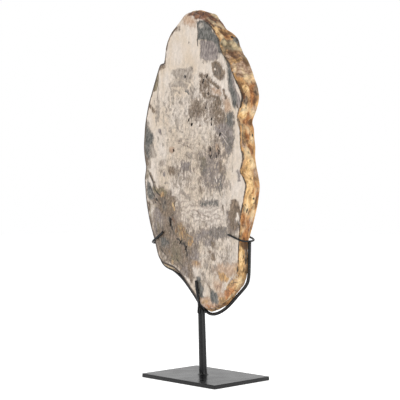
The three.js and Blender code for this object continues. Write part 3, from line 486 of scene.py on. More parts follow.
# Marks of the bark rim by tint or zone: strength, x and z of the face's edge beside them, y, and
# reach along and across the rim.
RIM_SPOTS = {
    "rust": (
        (1, -6, 560, -10, 16, 12), (1, 6, 554, 2, 14, 18), (1, 16, 548, 0, 14, 18),
        (0.9, 25, 542, 9, 9, 10), (0.9, 28, 539, 10, 6, 9), (0.6, 57, 491, 1, 7, 7),
        (0.9, 91, 431, -11, 6, 3), (0.5, 88, 363, -1, 5, 3), (0.8, -78, 179, 6, 12, 9),
        (0.7, 6, 121, 4, 10, 8), (0.8, -106, 234, 4, 9, 10), (0.7, -122, 313, -4, 10, 9),
        (0.8, -122, 394, 9, 12, 7), (0.8, -90, 483, -4, 10, 10), (0.8, -56, 541, 6, 12, 8),
    ),
    "tan": (
        (0.9, -12, 561, -15, 12, 4), (0.8, 56, 492, -10, 8, 5), (0.9, 71, 469, 0, 16, 13),
        (0.8, 88, 414, 9, 6, 4), (0.9, 89, 357, -8, 10, 4), (0.7, 90, 317, 10, 10, 4),
        (0.8, 87, 240, 6, 12, 6), (0.9, 30, 118, -12, 24, 3), (0.8, -12, 138, 2, 12, 12),
        (0.9, -110, 243, -8, 20, 6), (0.9, -120, 327, 8, 16, 7), (0.9, -113, 431, -7, 18, 7),
        (0.9, -82, 492, 6, 12, 9),
    ),
    "umber": (
        (0.6, 30, 538, 8, 5, 6), (0.8, 24, 543, 4, 8, 14), (0.7, 45, 512, 1, 7, 5),
        (0.7, 58, 489, 11, 8, 6), (0.8, 88, 440, 11, 12, 4), (1, 90, 424, -7, 7, 4),
        (0.8, 86, 411, -10, 5, 3), (0.9, 83, 393, -13, 6, 3), (0.9, 93, 341, -14, 10, 2),
        (0.9, 91, 328, -14.5, 12, 1.8), (1, 98, 300, -14.5, 14, 1.5), (0.9, 93, 270, -14, 7, 2),
        (1, 84, 196, -3, 22, 3), (1, 85, 209, -14.5, 10, 1.5), (0.9, 69, 149, -13, 5, 3),
        (0.9, 52, 132, -10, 8, 5), (0.5, 34, 120, -9, 26, 6), (0.8, -70, 176, -8, 30, 10),
        (0.8, -40, 162, -8, 26, 10), (0.8, -30, 155, 6, 16, 9), (0.9, -98, 211, -6, 14, 7),
        (0.8, -120, 284, -7, 16, 6), (0.9, -121, 336, -2, 9, 12), (0.9, -118, 416, 5, 12, 9),
        (0.8, -97, 470, 9, 14, 6), (0.8, -72, 516, 8, 14, 7),
    ),
    "dark": (
        (0.5, 18, 547, -3, 7, 5), (0.9, 41, 520, 8, 3, 2.5), (1, 80, 452, -14, 5, 1.8),
        (1, 85, 445, -13.5, 5, 2), (1, 89, 436, -13, 7, 2.4), (1, 91, 428, -13.5, 6, 2.2),
        (0.8, 88, 417, -14, 5, 2), (0.9, 88, 373, 9, 3, 2), (0.7, 95, 280, 2, 2, 1.5),
        (0.6, 94, 273, 4, 1.8, 1.4), (0.8, 91, 262, -7, 4, 1.2),
    ),
    "orange": (
        (0.8, 4, 555, -11, 7, 4), (0.8, 38, 526, 1, 8, 5), (0.7, 83, 448, 6, 12, 7),
        (0.9, 91, 430, 3, 12, 6), (0.8, 86, 412, -1, 7, 5), (0.7, 83, 402, 3, 7, 5),
        (0.7, 83, 393, 1, 6, 8), (1, 88, 376, 0, 12, 5), (0.9, 90, 352, 2, 10, 5),
        (0.9, 98, 290, -2, 4, 3), (0.7, 97, 287, 9, 12, 5), (0.8, 98, 299, 5, 5, 2.5),
        (0.8, 89, 250, -8, 12, 6), (0.7, 87, 235, -2, 12, 9), (0.8, 86, 222, -3, 9, 8),
        (1, 61, 140, -11, 10, 6), (0.7, -92, 192, 4, 14, 8), (0.8, -117, 268, 0, 12, 8),
        (0.7, -124, 361, 6, 12, 9), (0.8, -109, 441, 7, 12, 8), (0.8, -34, 557, 6, 14, 9),
    ),
    "gold": (
        (1, 36, 529, -3, 10, 9), (0.8, 62, 484, -2, 7, 8), (0.8, 88, 374, -6, 14, 3),
        (0.7, 92, 344, -6, 8, 5), (0.8, 88, 319, -13, 7, 3), (0.7, 94, 274, 7, 10, 5),
        (0.8, 86, 228, -13, 9, 3), (0.9, 84, 200, -7.5, 18, 2.5), (0.9, 80, 167, -8, 12, 7),
        (1, 70, 151, -10, 8, 4), (0.8, -123, 350, -9, 14, 5), (0.8, -75, 503, -5, 14, 7),
    ),
    "straw": (
        (0.7, 33, 533, -9, 6, 4), (1, 87, 441, -6, 6, 4), (1, 83, 404, -7, 7, 5), (0.6, 88, 366, 5, 7, 4),
        (0.9, 91, 330, -3, 9, 6), (1, 91, 315, -3, 10, 7), (1, 98, 295, -8, 16, 6),
        (1, 94, 274, -6, 10, 8), (1, 84, 196, -11, 18, 3), (0.9, 84, 182, -10, 12, 4),
        (0.8, 76, 158, -10, 8, 4), (0.7, -54, 171, 10, 14, 5), (0.8, -101, 218, 8, 12, 6),
        (0.9, -121, 296, 5, 18, 8), (0.8, -124, 376, -3, 20, 8), (0.8, -102, 456, 0, 14, 9),
        (0.8, -66, 529, 0, 14, 8),
    ),
    "slate": (
        (1, 44, 514, 11, 7, 5),
    ),
    "olive": (
        (0.9, 45, 513, -7, 9, 5), (0.7, 48, 505, 2, 9, 12), (0.6, 49, 502, -11, 10, 4),
        (0.7, 66, 480, 12, 9, 4), (0.7, 87, 376, -8, 14, 3), (0.7, 91, 264, -10, 6, 3),
        (0.7, 24, 116, 8, 12, 7), (0.8, -114, 256, 9, 16, 6), (0.8, -121, 403, -6, 16, 7),
        (0.7, -46, 549, -4, 12, 8),
    ),
    "drab": (
        (1, 49, 502, 4, 10, 16),
    ),
    "wave": (
        (0.9, 66, 478, 0, 30, 16),
    ),
}

# Tints of the stone, laid over each other in this order: the two colours that one tint wanders between,
# the pattern that breaks up its edge, and how far the pattern does so.
TINTS = {
    "tan": ("#c6ab92", "#a5846a", "fleck", 2.2),
    "smoke": ("#b0a497", "#85796e", "fleck", 2.2),
    "mauve": ("#978c86", "#675d5a", "fleck", 2.4),
    "umber": ("#8d7964", "#503f2f", "fleck", 2.8),
    "olive": ("#8a7d62", "#5a4d36", "fleck", 1.8),
    "gold": ("#c89d66", "#876740", "fleck", 2.4),
    "orange": ("#bd8048", "#85522a", "fleck", 2.0),
    "rust": ("#8a5b3b", "#4a3022", "fleck", 1.8),
    "straw": ("#f0cb92", "#d5a568", "fleck", 2.2),
    "slate": ("#74716b", "#3c3b37", "fleck", 1.8),
    "cream": ("#e0d6ca", "#cebfb0", "fleck", 1.6),
    "dark": ("#2b2219", "#1d1712", "grit", 0.8),
}
TINT_EDGE = 0.5
TINT_EDGE_COVER = 0.5
TINT_EDGE_COLOUR = "#7b6c5f"
ZONES = ("speck", "hatch", "wave", "busy", "drab")

# Patterns of the stone: size of a grain along x, y and z in millimetres, turn about y in degrees, how
# many finer octaves it has and how strong they are. The grain of the wood stands upright.
PATTERNS = {
    "cloud": ((38, 38, 60), 0, 4, 0.6),
    "streak": ((5, 8, 40), 4, 6, 0.66),
    "blotch": ((9, 9, 15), -8, 8, 0.72),
    "fleck": ((5, 5, 8), 6, 8, 0.8),
    "hatch": ((2.2, 4, 11), 18, 5, 0.65),
    "weave": ((4, 5, 9), 10, 6, 0.7),
    "grit": ((1.3, 1.3, 2), 0, 4, 0.7),
}

# Centre lines of the bent rod and wires, and the direction that their cross-section is laid out from.
ROD_ROUTE = (
    (93.8, 0, 213.4), (93.4, 0, 196), (93, 0, 178), (92.2, 0, 163.6), (90.3, 0, 155),
    (85.6, 0, 147.8), (76.8, 0, 139.4), (66.4, 0, 130.2), (56, 0, 120.7), (46.4, 0, 113.2),
    (36.7, 0, 107.4), (25.8, 0, 102.9), (17.1, 0, 101.2), (9.5, 0, 101.8), (3, 0, 104.8),
    (-2.8, 0, 109.4), (-8.5, 0, 113.7), (-14.1, 0, 118.2), (-20.1, 0, 125), (-31.3, 0, 136.4),
    (-42.7, 0, 147), (-52, 0, 154.4), (-61.4, 0, 160.4), (-70.9, 0, 165.1), (-81, 0, 168.1),
    (-89.5, 0, 171.4), (-96.7, 0, 177.2), (-101.7, 0, 186), (-106, 0, 196), (-109, 0, 205),
)
LEFT_CLIP_ROUTE = (
    (-77.5, -17.3, 226), (-92, -17.3, 216.3), (-99, -17.3, 212), (-105.5, -13.5, 209.3),
    (-109.5, -5, 207.8), (-109.5, 5, 207.8), (-106, 13.5, 209.5), (-99, 17.3, 213), (-84, 17.3, 222),
)
RIGHT_CLIP_ROUTE = (
    (65, -16.8, 225), (78, -16.8, 221), (87, -16.8, 218.2), (91.8, -12.5, 216.2),
    (93.3, -4, 215.3), (93, 4, 215.4), (91, 12, 216.6), (85, 16.8, 218.6), (74, 16.8, 222.5),
)
FRONT_PRONG_ROUTE = (
    (-2.8, -17.3, 153), (-0.6, -17.3, 138), (1.4, -17.3, 130), (2.4, -16.6, 122.5),
    (0, -13.6, 114), (-4, -10.2, 107.5), (-6.6, -8, 102),
)
BACK_PRONG_ROUTE = tuple((x, -y, z) for x, y, z in FRONT_PRONG_ROUTE)

# Grid of the slab, its rolled lip, and the dark band along the face's edge, partly dark rind and partly
# painted shade of the rim beside the edge, wider and darker on the left.
SIDE_SEGMENTS = 380
FACE_RINGS = 68
BACK_RINGS = 16
LIP_ROWS = 5
RIM_ROWS = 28
BACK_EDGE = 1.2
BACK_EDGE_ROWS = 3
LIP_POLISHED_FROM = 3
LIP_LEAST_DEPTH = 0.4
LIP_DEPTH_SHARE = 0.45
NORMAL_REACH = 1.2
RELIEF_FADE = 4
BACK_EDGE_RELIEF = 0.35
RIDGE_LIFT = 0.5
PIT_WALL = 0.25
PIT_RIM = 0.9
# The dark band along the face's edge: partly rind, partly painted shade of the rim beside it, wider and
# darker on the left.
RIND_AND_SHADE_REACH = 1.3
RIND_AND_SHADE_COVER = 0.62
LEFT_RIND_AND_SHADE_REACH = 2.2
LEFT_RIND_AND_SHADE_COVER = 0.9
SPINE_PULL = 0.25
SPINE_CENTRE = (-8, 335)

# How the marks lie: their softness, how far they run over the lip, the rim marks' outlines, and how far
# the back's marks are shifted from the front's.
PATCH_SOFTNESS = 2.1
LIP_MARKS = 1.8
LIP_MARKS_LEAST = 2.2
RIM_WANDER = 0.3
RIM_SPOT_END = 1.35
RIM_SPOT_FADE = 0.7
BACK_SHIFT_X = 5
BACK_SHIFT_Z = -4

LATTICE = 32
FINE_STEPS = 40
ROUND_STEPS = 5

BAR_SIDES = 28
BAR_STEP = 1.2
BAR_END_EDGE = 0.35
BEAD_STEP = 0.25
BEAD_END_EDGE = 0.8
BEAD_RIPPLE = 0.07
BEAD_RIPPLE_LENGTH = 1.6

POST_SIDES = 56
POST_FOOT_X = -4.3
POST_TOP_X = -8.3
POST_SEAT = 1.6
ROD_AT_POST_Z = 113.5
WELD_ANGLE = math.radians(37)
WELD_REACH = 2.75
WELD_HEIGHT = 2.5
WELD_RIPPLE = 0.03
WELD_SCALES = 26
PLATE_EDGE = 0.5
PLATE_CORNER = 1.5

# Weld beads: name, centre line, diameter, and the direction that their cross-section is laid out from.
WELDS = (
    ("weld_post_front", ((-12.0, -2.6, 115.0), (-8.0, -2.9, 111.9), (-4.4, -2.6, 109.2)), 2.8, (0, 1, 0)),
    ("weld_post_back", ((-12.0, 2.6, 115.0), (-8.0, 2.9, 111.9), (-4.4, 2.6, 109.2)), 2.8, (0, 1, 0)),
    ("weld_left_clip", ((-108.6, 0, 203.6), (-109.2, 0, 206.6)), 6.0, (0, 1, 0)),
    ("weld_right_clip", ((93.7, 0, 212.2), (93.6, 0, 215.0)), 5.6, (0, 1, 0)),
    ("weld_front_prong", ((-7.6, -5.2, 100.6), (-6.9, -6.9, 103.4)), 4.6, (1, 0, 0)),
    ("weld_back_prong", ((-7.6, 5.2, 100.6), (-6.9, 6.9, 103.4)), 4.6, (1, 0, 0)),
)

IMAGE_SIZE = 400
CAMERA_PLACE = (1.2074, -1.2003, 0.2783)
CAMERA_AIM = (-0.7125, 0.7017, 0.0)
FOCAL_PIXELS = 1099
PRINCIPAL_RISE_PIXELS = 1
SENSOR = 36

# Soft boxes: name, place in metres, width and height, and power in watts.
STUDIO_LIGHTS = (
    ("soft_front", (-0.6, -2.4, 1.5), (2.0, 2.0), 26),
    ("soft_right", (2.4, -0.4, 1.2), (2.8, 3.0), 60),
    ("soft_top", (0.0, 0.0, 2.8), (2.6, 2.6), 12),
)
LIGHT_AIM = (0.0, 0.0, 0.32)

# The surround lights the object from the pale backdrop, ahead of the camera, and from the darker room
# behind it. It turns from one to the other where the cosine to the camera's aim is under this value.
BACKDROP_TURN = 0.7


class StoneSettings(bpy.types.PropertyGroup):
    """Sizes of the petrified wood"""
    thickness: FloatProperty(
        name="Thickness", description="Thickness of the slab", default=0.03, unit="LENGTH", min=0.01)
    bark_relief: FloatProperty(
        name="Bark Relief", description="Height of the fine relief of the rim", default=0.0015,
        unit="LENGTH", min=0)
    relief_seed: IntProperty(name="Relief Seed", description="Seed of the stone's relief", default=7)


class StandSettings(bpy.types.PropertyGroup):
    """Sizes of the steel stand"""
    plate_length: FloatProperty(
        name="Plate Length", description="Long edge of the base plate", unit="LENGTH",
        default=PLATE_HIGH.x - PLATE_LOW.x, min=0.01)
    plate_depth: FloatProperty(
        name="Plate Depth", description="Short edge of the base plate", unit="LENGTH",
        default=PLATE_HIGH.y - PLATE_LOW.y, min=0.01)
    plate_thickness: FloatProperty(
        name="Plate Thickness", description="Thickness of the base plate", unit="LENGTH",
        default=PLATE_HIGH.z - PLATE_LOW.z, min=0.001)
    rod_diameter: FloatProperty(
        name="Rod", description="Diameter of the bent rod under the stone", unit="LENGTH", default=0.005,
        min=0.001)
    left_wire_diameter: FloatProperty(
        name="Left Wire", description="Diameter of the left clip", unit="LENGTH", default=0.004, min=0.001)
    right_wire_diameter: FloatProperty(
        name="Right Wire", description="Diameter of the right clip", unit="LENGTH", default=0.003, min=0.001)
    prong_diameter: FloatProperty(
        name="Bottom Prongs", description="Diameter of the prongs at the post", unit="LENGTH",
        default=0.004, min=0.001)
    post_foot_diameter: FloatProperty(
        name="Post Foot", description="Diameter of the post above its weld", unit="LENGTH", default=0.0125,
        min=0.001)
    post_top_diameter: FloatProperty(
        name="Post Top", description="Diameter of the post at the cradle", unit="LENGTH", default=0.011,
        min=0.001)


class StudioSettings(bpy.types.PropertyGroup):
    """Light and floor of the studio"""
    floor_width: FloatProperty(
        name="Floor Width", description="Edge length of the pale floor", unit="LENGTH", default=12.0)
    surround: FloatProperty(
        name="Backdrop", description="Light of the white backdrop behind the object", default=0.95, min=0.0)
    room: FloatProperty(
        name="Room", description="Light of the darker room behind the camera", default=0.14, min=0.0)


def linear(code):
    """Linear colour with alpha from an sRGB hex code."""
    parts = [int(code[i:i + 2], 16) / 255 for i in (1, 3, 5)]
    return tuple(p / 12.92 if p <= 0.04045 else ((p + 0.055) / 1.055) ** 2.4 for p in parts) + (1,)


def ease(t):
    """Smooth step from 0 to 1: 3t^2 - 2t^3."""
    c = np.clip(t, 0, 1)
    return c * c * (3 - 2 * c)


def random_field(points, size, seed):
    """Smooth random field between -1 and 1 whose bumps are about size apart: random values on a cubic
    lattice, blended between the eight corners round each point by ease()."""
    values = np.random.default_rng(seed).uniform(-1, 1, (LATTICE, LATTICE, LATTICE))
    place = points / size
    cell = np.floor(place).astype(int)
    part = ease(place - cell)
    total = np.zeros(points.shape[:-1])
    for corner in itertools.product((0, 1), repeat=3):
        weight = np.prod(np.where(corner, part, 1 - part), axis=-1)
        i, j, k = np.moveaxis((cell + corner) % LATTICE, -1, 0)
        total += weight * values[i, j, k]
    return total


def outline_at(t):
    """Every column of the closed outline at positions t, in stations, by a uniform Catmull-Rom curve."""
    count = len(OUTLINE)
    i = np.floor(t).astype(int)
    f = (t - i)[:, None]
    p0, p1, p2, p3 = (OUTLINE[(i + k) % count] for k in (-1, 0, 1, 2))
    return 0.5 * (2 * p1 + (p2 - p0) * f + (2 * p0 - 5 * p1 + 4 * p2 - p3) * f ** 2
                  + (3 * p1 - p0 - 3 * p2 + p3) * f ** 3)


def even_stations(first, last, segments):
    """Positions from first toward last that split that stretch of the outline into equal lengths."""
    fine = np.linspace(first, last, FINE_STEPS * segments)
    run = np.concatenate(([0], np.cumsum(np.hypot(*np.diff(outline_at(fine)[:, :2], axis=0).T))))
    return np.interp(np.linspace(0, run[-1], segments + 1)[:-1], run, fine)


def rim_rows():
    """Rows of the rim as (stretch, share) pairs: 0 the rolled lip, 1 the bark, 2 the back's round edge."""
    lip = [(0, 1 - math.cos(math.pi / 2 * k / LIP_ROWS)) for k in range(1, LIP_ROWS + 1)]
    bark = [(1, k / RIM_ROWS) for k in range(1, RIM_ROWS + 1)]
    edge = [(2, math.sin(math.pi / 2 * k / BACK_EDGE_ROWS)) for k in range(1, BACK_EDGE_ROWS + 1)]
    return lip + bark + edge


def lip_end(lip):
    """How deep behind the face a rolled lip of this width ends."""
    return LIP_LEAST_DEPTH + LIP_DEPTH_SHARE * lip


def rim_offset(station, d, thickness):
    """How far the smooth rim stands outside the face's edge at depth d: a quarter ellipse over the lip,
    then eased to the belly at half the thickness and to the back, less a quarter circle at the end."""
    lip, belly, back = station[2], station[3], station[4]
    half = thickness / 2
    lip_depth = lip_end(lip)
    over_lip = lip * np.sqrt(np.clip(1 - (1 - d / lip_depth) ** 2, 0, 1))
    to_belly = lip + (belly - lip) * ease((d - lip_depth) / (half - lip_depth))
    to_back = belly + (back - belly) * ease((d - half) / (half - BACK_EDGE))
    end = np.clip((d - (thickness - BACK_EDGE)) / BACK_EDGE, 0, 1)
    rounded = BACK_EDGE * (1 - np.sqrt(1 - end ** 2))
    return np.where(d <= lip_depth, over_lip, np.where(d <= half, to_belly, to_back)) - rounded


def bark_relief(x, y, z):
    """Relief of the rim: flutes along the trunk, knobs, swells and the single lumps, as in the source."""
    wander = 1.3 * np.sin(z / 19 + x / 23)
    flutes = 0.9 * (0.6 + 0.4 * np.sin(z / 31 + x / 17)) * np.sin(y / 2.2 + wander)
    knobs = 0.8 * np.sin(z / 6.1 + x / 9.7 + 1.1 * np.sin(y / 5))
    swells = 0.6 * np.sin(z / 13 - x / 8 + y / 7)
    height = flutes + knobs + swells
    for cx, cz, cy, along, across, size in LUMPS:
        away = ((x - cx) ** 2 + (z - cz) ** 2) / along ** 2 + ((y - cy) / across) ** 2
        height = height + size * np.exp(-away)
    return height


def fine_relief(points, seed):
    """Fine relief of the bark, between about -1 and 1: lumps of 7 mm, grains of 3 mm and of 1.6 mm that
    are drawn out along the trunk."""
    drawn = points * (1, 1, 0.6)
    return (0.55 * random_field(drawn, 7, seed) + 0.3 * random_field(drawn, 3, seed + 1)
            + 0.2 * random_field(drawn, 1.6, seed + 2))


def polygon_depth(x, z, corners):
    """Distance to the nearest edge of a polygon, over 0 inside and under 0 outside. A point is inside if
    a line from it to the right crosses an odd number of edges."""
    nearest = np.full(x.shape, np.inf)
    inside = np.zeros(x.shape, bool)
    for (ax, az), (bx, bz) in zip(corners, corners[1:] + corners[:1]):
        nearest = np.minimum(nearest, segment_distance(x, z, (ax, az), (bx, bz)))
        if az != bz:
            crosses = ((az > z) != (bz > z)) & (x < (bx - ax) * (z - az) / (bz - az) + ax)
            inside ^= crosses
    return np.where(inside, nearest, -nearest)


def segment_distance(x, z, start, end):
    """Distance of points from a straight segment: to the nearest point of it, found by projection."""
    dx, dz = end[0] - start[0], end[1] - start[1]
    along = np.clip(((x - start[0]) * dx + (z - start[1]) * dz) / (dx * dx + dz * dz), 0, 1)
    return np.hypot(x - start[0] - along * dx, z - start[1] - along * dz)


def oval_depth(x, z, cx, cz, half_width, half_height, turn):
    """Depth inside a turned ellipse: 1 less the scaled distance from its centre, times the short half."""
    angle = math.radians(turn)
    across = (x - cx) * math.cos(angle) + (z - cz) * math.sin(angle)
    up = (z - cz) * math.cos(angle) - (x - cx) * math.sin(angle)
    return (1 - np.hypot(across / half_width, up / half_height)) * min(half_width, half_height)


def wobble(points, seed):
    """Random shift of a mark's place, in two sizes of bumps, so that no drawn edge stays straight."""
    return 2.4 * random_field(points, 13, seed) + 0.9 * random_field(points, 4, seed + 1)


def pit_depth(points, pit):
    """Depth inside the outline of one pit of the face, and how deep that pit goes."""
    x, z, half_width, half_length, turn, depth = pit
    return oval_depth(points[..., 0], points[..., 2], x, z, half_width, half_length, -turn), depth


def face_marks(points, seed):
    """Cover of every tint and zone on a face: the strongest mark at each point, where a mark's cover
    eases from 0 outside its soft edge to its strength inside. The places are first shifted by a random
    field."""
    x, z = points[..., 0] + wobble(points, seed), points[..., 2] + wobble(points, seed + 2)
    cover = {name: np.zeros(x.shape) for name in (*TINTS, *ZONES, "pit")}

    def lay(name, strength, depth, soft):
        cover[name] = np.maximum(cover[name], strength * ease(0.5 + depth / (2 * soft)))

    for name, marks in PATCHES.items():
        for strength, soft, corners in marks:
            lay(name, strength, polygon_depth(x, z, corners), PATCH_SOFTNESS * soft)
    for name, marks in OVALS.items():
        for strength, soft, *oval in marks:
            lay(name, strength, oval_depth(x, z, *oval), soft)
    for name, marks in STREAKS.items():
        for strength, half_width, route in marks:
            away = np.min([segment_distance(x, z, a, b) for a, b in zip(route, route[1:])], axis=0)
            lay(name, strength, half_width - away, 0.8 * half_width + 0.4)
    # Each pit's cover later paints its inside near black: painted shade in the pit.
    for pit in PITS:
        lay("pit", 1, pit_depth(points, pit)[0], PIT_RIM)
    return cover


def rim_marks(x, y, z, wander, cover, on_rim):
    """Adds the rim's own marks to the cover of its rows: each eases out from its centre over its reach
    along and across the rim, and a random wander of the distance breaks up its outline."""
    for name, marks in RIM_SPOTS.items():
        here = cover[name][on_rim]
        for strength, cx, cz, cy, along, across in marks:
            away = np.sqrt(((x - cx) ** 2 + (z - cz) ** 2) / along ** 2 + ((y - cy) / across) ** 2) + wander
            here[:] = np.maximum(here, strength * ease((RIM_SPOT_END - away) / RIM_SPOT_FADE))


def slab_stations():
    """Even stations down the slab's right side and up its left: the columns of the outline, its outward
    normal, and the point of the spine that each one is joined to. The spine lies midway between a
    station and its mirror image and is drawn toward one centre."""
    t = np.concatenate((even_stations(TOP_STATION, BOTTOM_STATION, SIDE_SEGMENTS),
                        even_stations(BOTTOM_STATION, TOP_STATION + len(OUTLINE), SIDE_SEGMENTS)))
    station = outline_at(t).T
    x, z = station[0], station[1]
    step = outline_at(t + NORMAL_REACH) - outline_at(t - NORMAL_REACH)
    run = np.hypot(step[:, 0], step[:, 1])
    mirror = (-np.arange(len(t))) % len(t)
    spine_x = (1 - SPINE_PULL) * (x + x[mirror]) / 2 + SPINE_PULL * SPINE_CENTRE[0]
    spine_z = (1 - SPINE_PULL) * (z + z[mirror]) / 2 + SPINE_PULL * SPINE_CENTRE[1]
    return station, (-step[:, 1] / run, step[:, 0] / run), (spine_x, spine_z)


def face_rings(spine, edge, y, shares):
    """Rings of a flat face at y, each a share of the way from the spine to the edge."""
    return [np.stack((spine[0] + (edge[0] - spine[0]) * share, np.full(len(edge[0]), y),
                      spine[1] + (edge[1] - spine[1]) * share), axis=-1) for share in shares]


def mark_fields(grid, on_rim, base, rim_d, lip, thickness, seed):
    """Cover of every tint and zone on the slab. The rim's rows take the face's marks where its edge lies
    in front of them, which fade out behind the lip, and add the rim's own. The back takes the front's
    marks, shifted."""
    edge = np.stack((base[..., 0], np.full(rim_d.shape, -thickness / 2), base[..., 2]), axis=-1)
    shifted = grid[on_rim.stop:] + (BACK_SHIFT_X, -thickness, BACK_SHIFT_Z)
    cover = face_marks(np.concatenate((grid[:on_rim.start], edge, shifted)), seed + 10)
    fade = np.exp(-(rim_d / np.maximum(LIP_MARKS_LEAST, LIP_MARKS * lip_end(lip))) ** 2)
    for field in cover.values():
        field[on_rim] *= fade
    wander = RIM_WANDER * (random_field(base, 9, seed + 20) + 0.6 * random_field(base, 3, seed + 21))
    outline = grid[on_rim.start - 1]
    rim_marks(outline[:, 0], base[..., 1], outline[:, 2], wander, cover, on_rim)
    return cover


def rind_and_shade_field(grid, on_rim, rim_d, lip, left):
    """The dark band along the face's edge, partly dark rind and partly painted shade of the rim beside it,
    wider and darker on the left: it fades inward over the face and back over the rim, and is weak where the
    lip is wide."""
    outline = grid[on_rim.start - 1]
    inward = np.hypot(outline[:, 0] - grid[:on_rim.start, :, 0], outline[:, 2] - grid[:on_rim.start, :, 2])
    sharp = np.where(left, LEFT_RIND_AND_SHADE_COVER, RIND_AND_SHADE_COVER) * (1 - 0.9 * ease((lip - 2.5) / 1.5))
    reach = np.where(left, LEFT_RIND_AND_SHADE_REACH, RIND_AND_SHADE_REACH)
    rind_and_shade = np.zeros(grid.shape[:2])
    rind_and_shade[:on_rim.start] = sharp * np.exp(-(inward / reach) ** 2)
    rind_and_shade[on_rim] = sharp * np.exp(-(rim_d / reach) ** 2)
    return rind_and_shade


def sink_pits(face):
    """Pushes the points of the front face in at every pit, steeply at its outline and flat within."""
    sunk = np.zeros(face.shape[:2])
    for pit in PITS:
        inside, depth = pit_depth(face, pit)
        sunk = np.maximum(sunk, depth * ease(inside / pit[2] + PIT_WALL))
    face[..., 1] += sunk


def slab_grid(thickness, relief, seed):
    """The slab as one closed surface of two parameters. One runs round the outline, down its right side
    and up its left; the other runs from the front face's spine out to its edge, over the rim and in to
    the back's spine. A face point is mixed between the spine and the outline, and a rim point stands
    outside the outline along its normal by the rim's offset and relief.

    Returns the points in millimetres, the fields of the marks, the bark's height, from which the rim paints
    highlights on ridges and shade in crevices, the dark band along the face's edge, partly rind and partly
    painted shade, and which points are polished.
    """
    station, (nx, nz), spine = slab_stations()
    x, z, lip = station[0], station[1], station[2]
    front, edge_from = -thickness / 2, thickness - BACK_EDGE
    starts, ends = (0, lip_end(lip), edge_from), (lip_end(lip), edge_from, thickness)
    rim_d = np.array([starts[part] + (ends[part] - starts[part]) * share + 0 * lip
                      for part, share in rim_rows()])
    y = front + rim_d
    smooth = rim_offset(station[:, None, :], rim_d, thickness)
    base = np.stack((x + nx * smooth, y, z + nz * smooth), axis=-1)
    to_back = BACK_EDGE_RELIEF + (1 - BACK_EDGE_RELIEF) * ease((thickness - rim_d) / RELIEF_FADE)
    fade = ease(rim_d / RELIEF_FADE) * to_back * (1 - ease((rim_d - thickness + BACK_EDGE) / BACK_EDGE))
    height = (bark_relief(x, y, z) + relief * fine_relief(base, seed)) * fade
    rim = base + height[..., None] * np.stack((nx, 0 * nx, nz), axis=-1)
    face = face_rings(spine, (x, z), front, np.linspace(0, 1, FACE_RINGS + 1))
    back = face_rings(spine, (rim[-1][:, 0], rim[-1][:, 2]), front + thickness,
                      np.linspace(1, 0, BACK_RINGS + 1)[1:])
    grid = np.concatenate((face, rim, back))

    on_rim = slice(len(face), len(face) + len(rim))
    fields = mark_fields(grid, on_rim, base, rim_d, lip, thickness, seed)
    # The bark's height, lifted, is stored as 'ridge' for the rim's painted ridge highlights and painted
    # crevice shade.
    fields["ridge"] = np.zeros(grid.shape[:2])
    fields["ridge"][on_rim] = height + RIDGE_LIFT
    fields["rind_and_shade"] = rind_and_shade_field(grid, on_rim, rim_d, lip, nx < 0)
    sink_pits(grid[:on_rim.start])
    polished = np.ones(grid.shape[:2], bool)
    polished[on_rim] = (rim_d <= lip_end(lip)) & (lip > LIP_POLISHED_FROM)
    return grid, fields, polished


def build(name, grid, ends):
    """A mesh object from a grid of points in millimetres, rows by columns, with the columns joined round.
    Its first and last row are closed by ends: "pole", where such a row is one repeated point, or "spine",
    where column i meets column -i. Returns the object and the grid places that its vertices come from."""
    rows, columns = grid.shape[:2]
    ids = np.arange(rows * columns).reshape(rows, columns)
    mirror = np.minimum(np.arange(columns), (-np.arange(columns)) % columns)
    meets = 0 * mirror if ends == "pole" else mirror
    ids[0] = ids[0, meets]
    ids[-1] = ids[-1, meets]
    keep, order = np.unique(ids, return_inverse=True)
    order = order.reshape(rows, columns)
    after = np.roll(order, -1, axis=1)
    quads = np.stack((order[:-1], after[:-1], after[1:], order[1:]), axis=-1)
    faces = quads.reshape(-1, 4).tolist()
    if ends == "pole":
        faces = quads[1:-1].reshape(-1, 4).tolist()
        faces += quads[0][:, (0, 2, 3)].tolist() + quads[-1][:, (0, 1, 2)].tolist()
    mesh = bpy.data.meshes.new(name)
    mesh.from_pydata((grid.reshape(-1, 3)[keep] * MM).tolist(), [], faces)
    mesh.shade_smooth()
    piece = bpy.data.objects.new(name, mesh)
    bpy.context.scene.collection.objects.link(piece)
    return piece, keep


def bar_line(route, count=600):
    """Even points along a bar's centre line: a centripetal Catmull-Rom curve through the route, whose
    ends are mirrored outward, worked out by repeated blending between neighbouring points."""
    points = np.array(route, float)
    points = np.concatenate(([2 * points[0] - points[1]], points, [2 * points[-1] - points[-2]]))
    knots = np.concatenate(([0], np.cumsum(np.linalg.norm(np.diff(points, axis=0), axis=1) ** 0.5)))
    t = np.linspace(knots[1], knots[-2], FINE_STEPS * len(route))
    i = np.clip(np.searchsorted(knots, t, side="right") - 1, 1, len(knots) - 3)

    def between(a, b, low, high):
        return (a * (knots[high] - t)[:, None] + b * (t - knots[low])[:, None]) / (
            knots[high] - knots[low])[:, None]

    p0, p1, p2, p3 = (points[i + k] for k in (-1, 0, 1, 2))
    a1, a2, a3 = between(p0, p1, i - 1, i), between(p1, p2, i, i + 1), between(p2, p3, i + 1, i + 2)
    b1, b2 = between(a1, a2, i - 1, i + 1), between(a2, a3, i, i + 2)
    curve = between(b1, b2, i, i + 1)
    run = np.concatenate(([0], np.cumsum(np.linalg.norm(np.diff(curve, axis=0), axis=1))))
    even = np.linspace(0, run[-1], count)
    return np.stack([np.interp(even, run, curve[:, k]) for k in range(3)], axis=-1), run[-1]


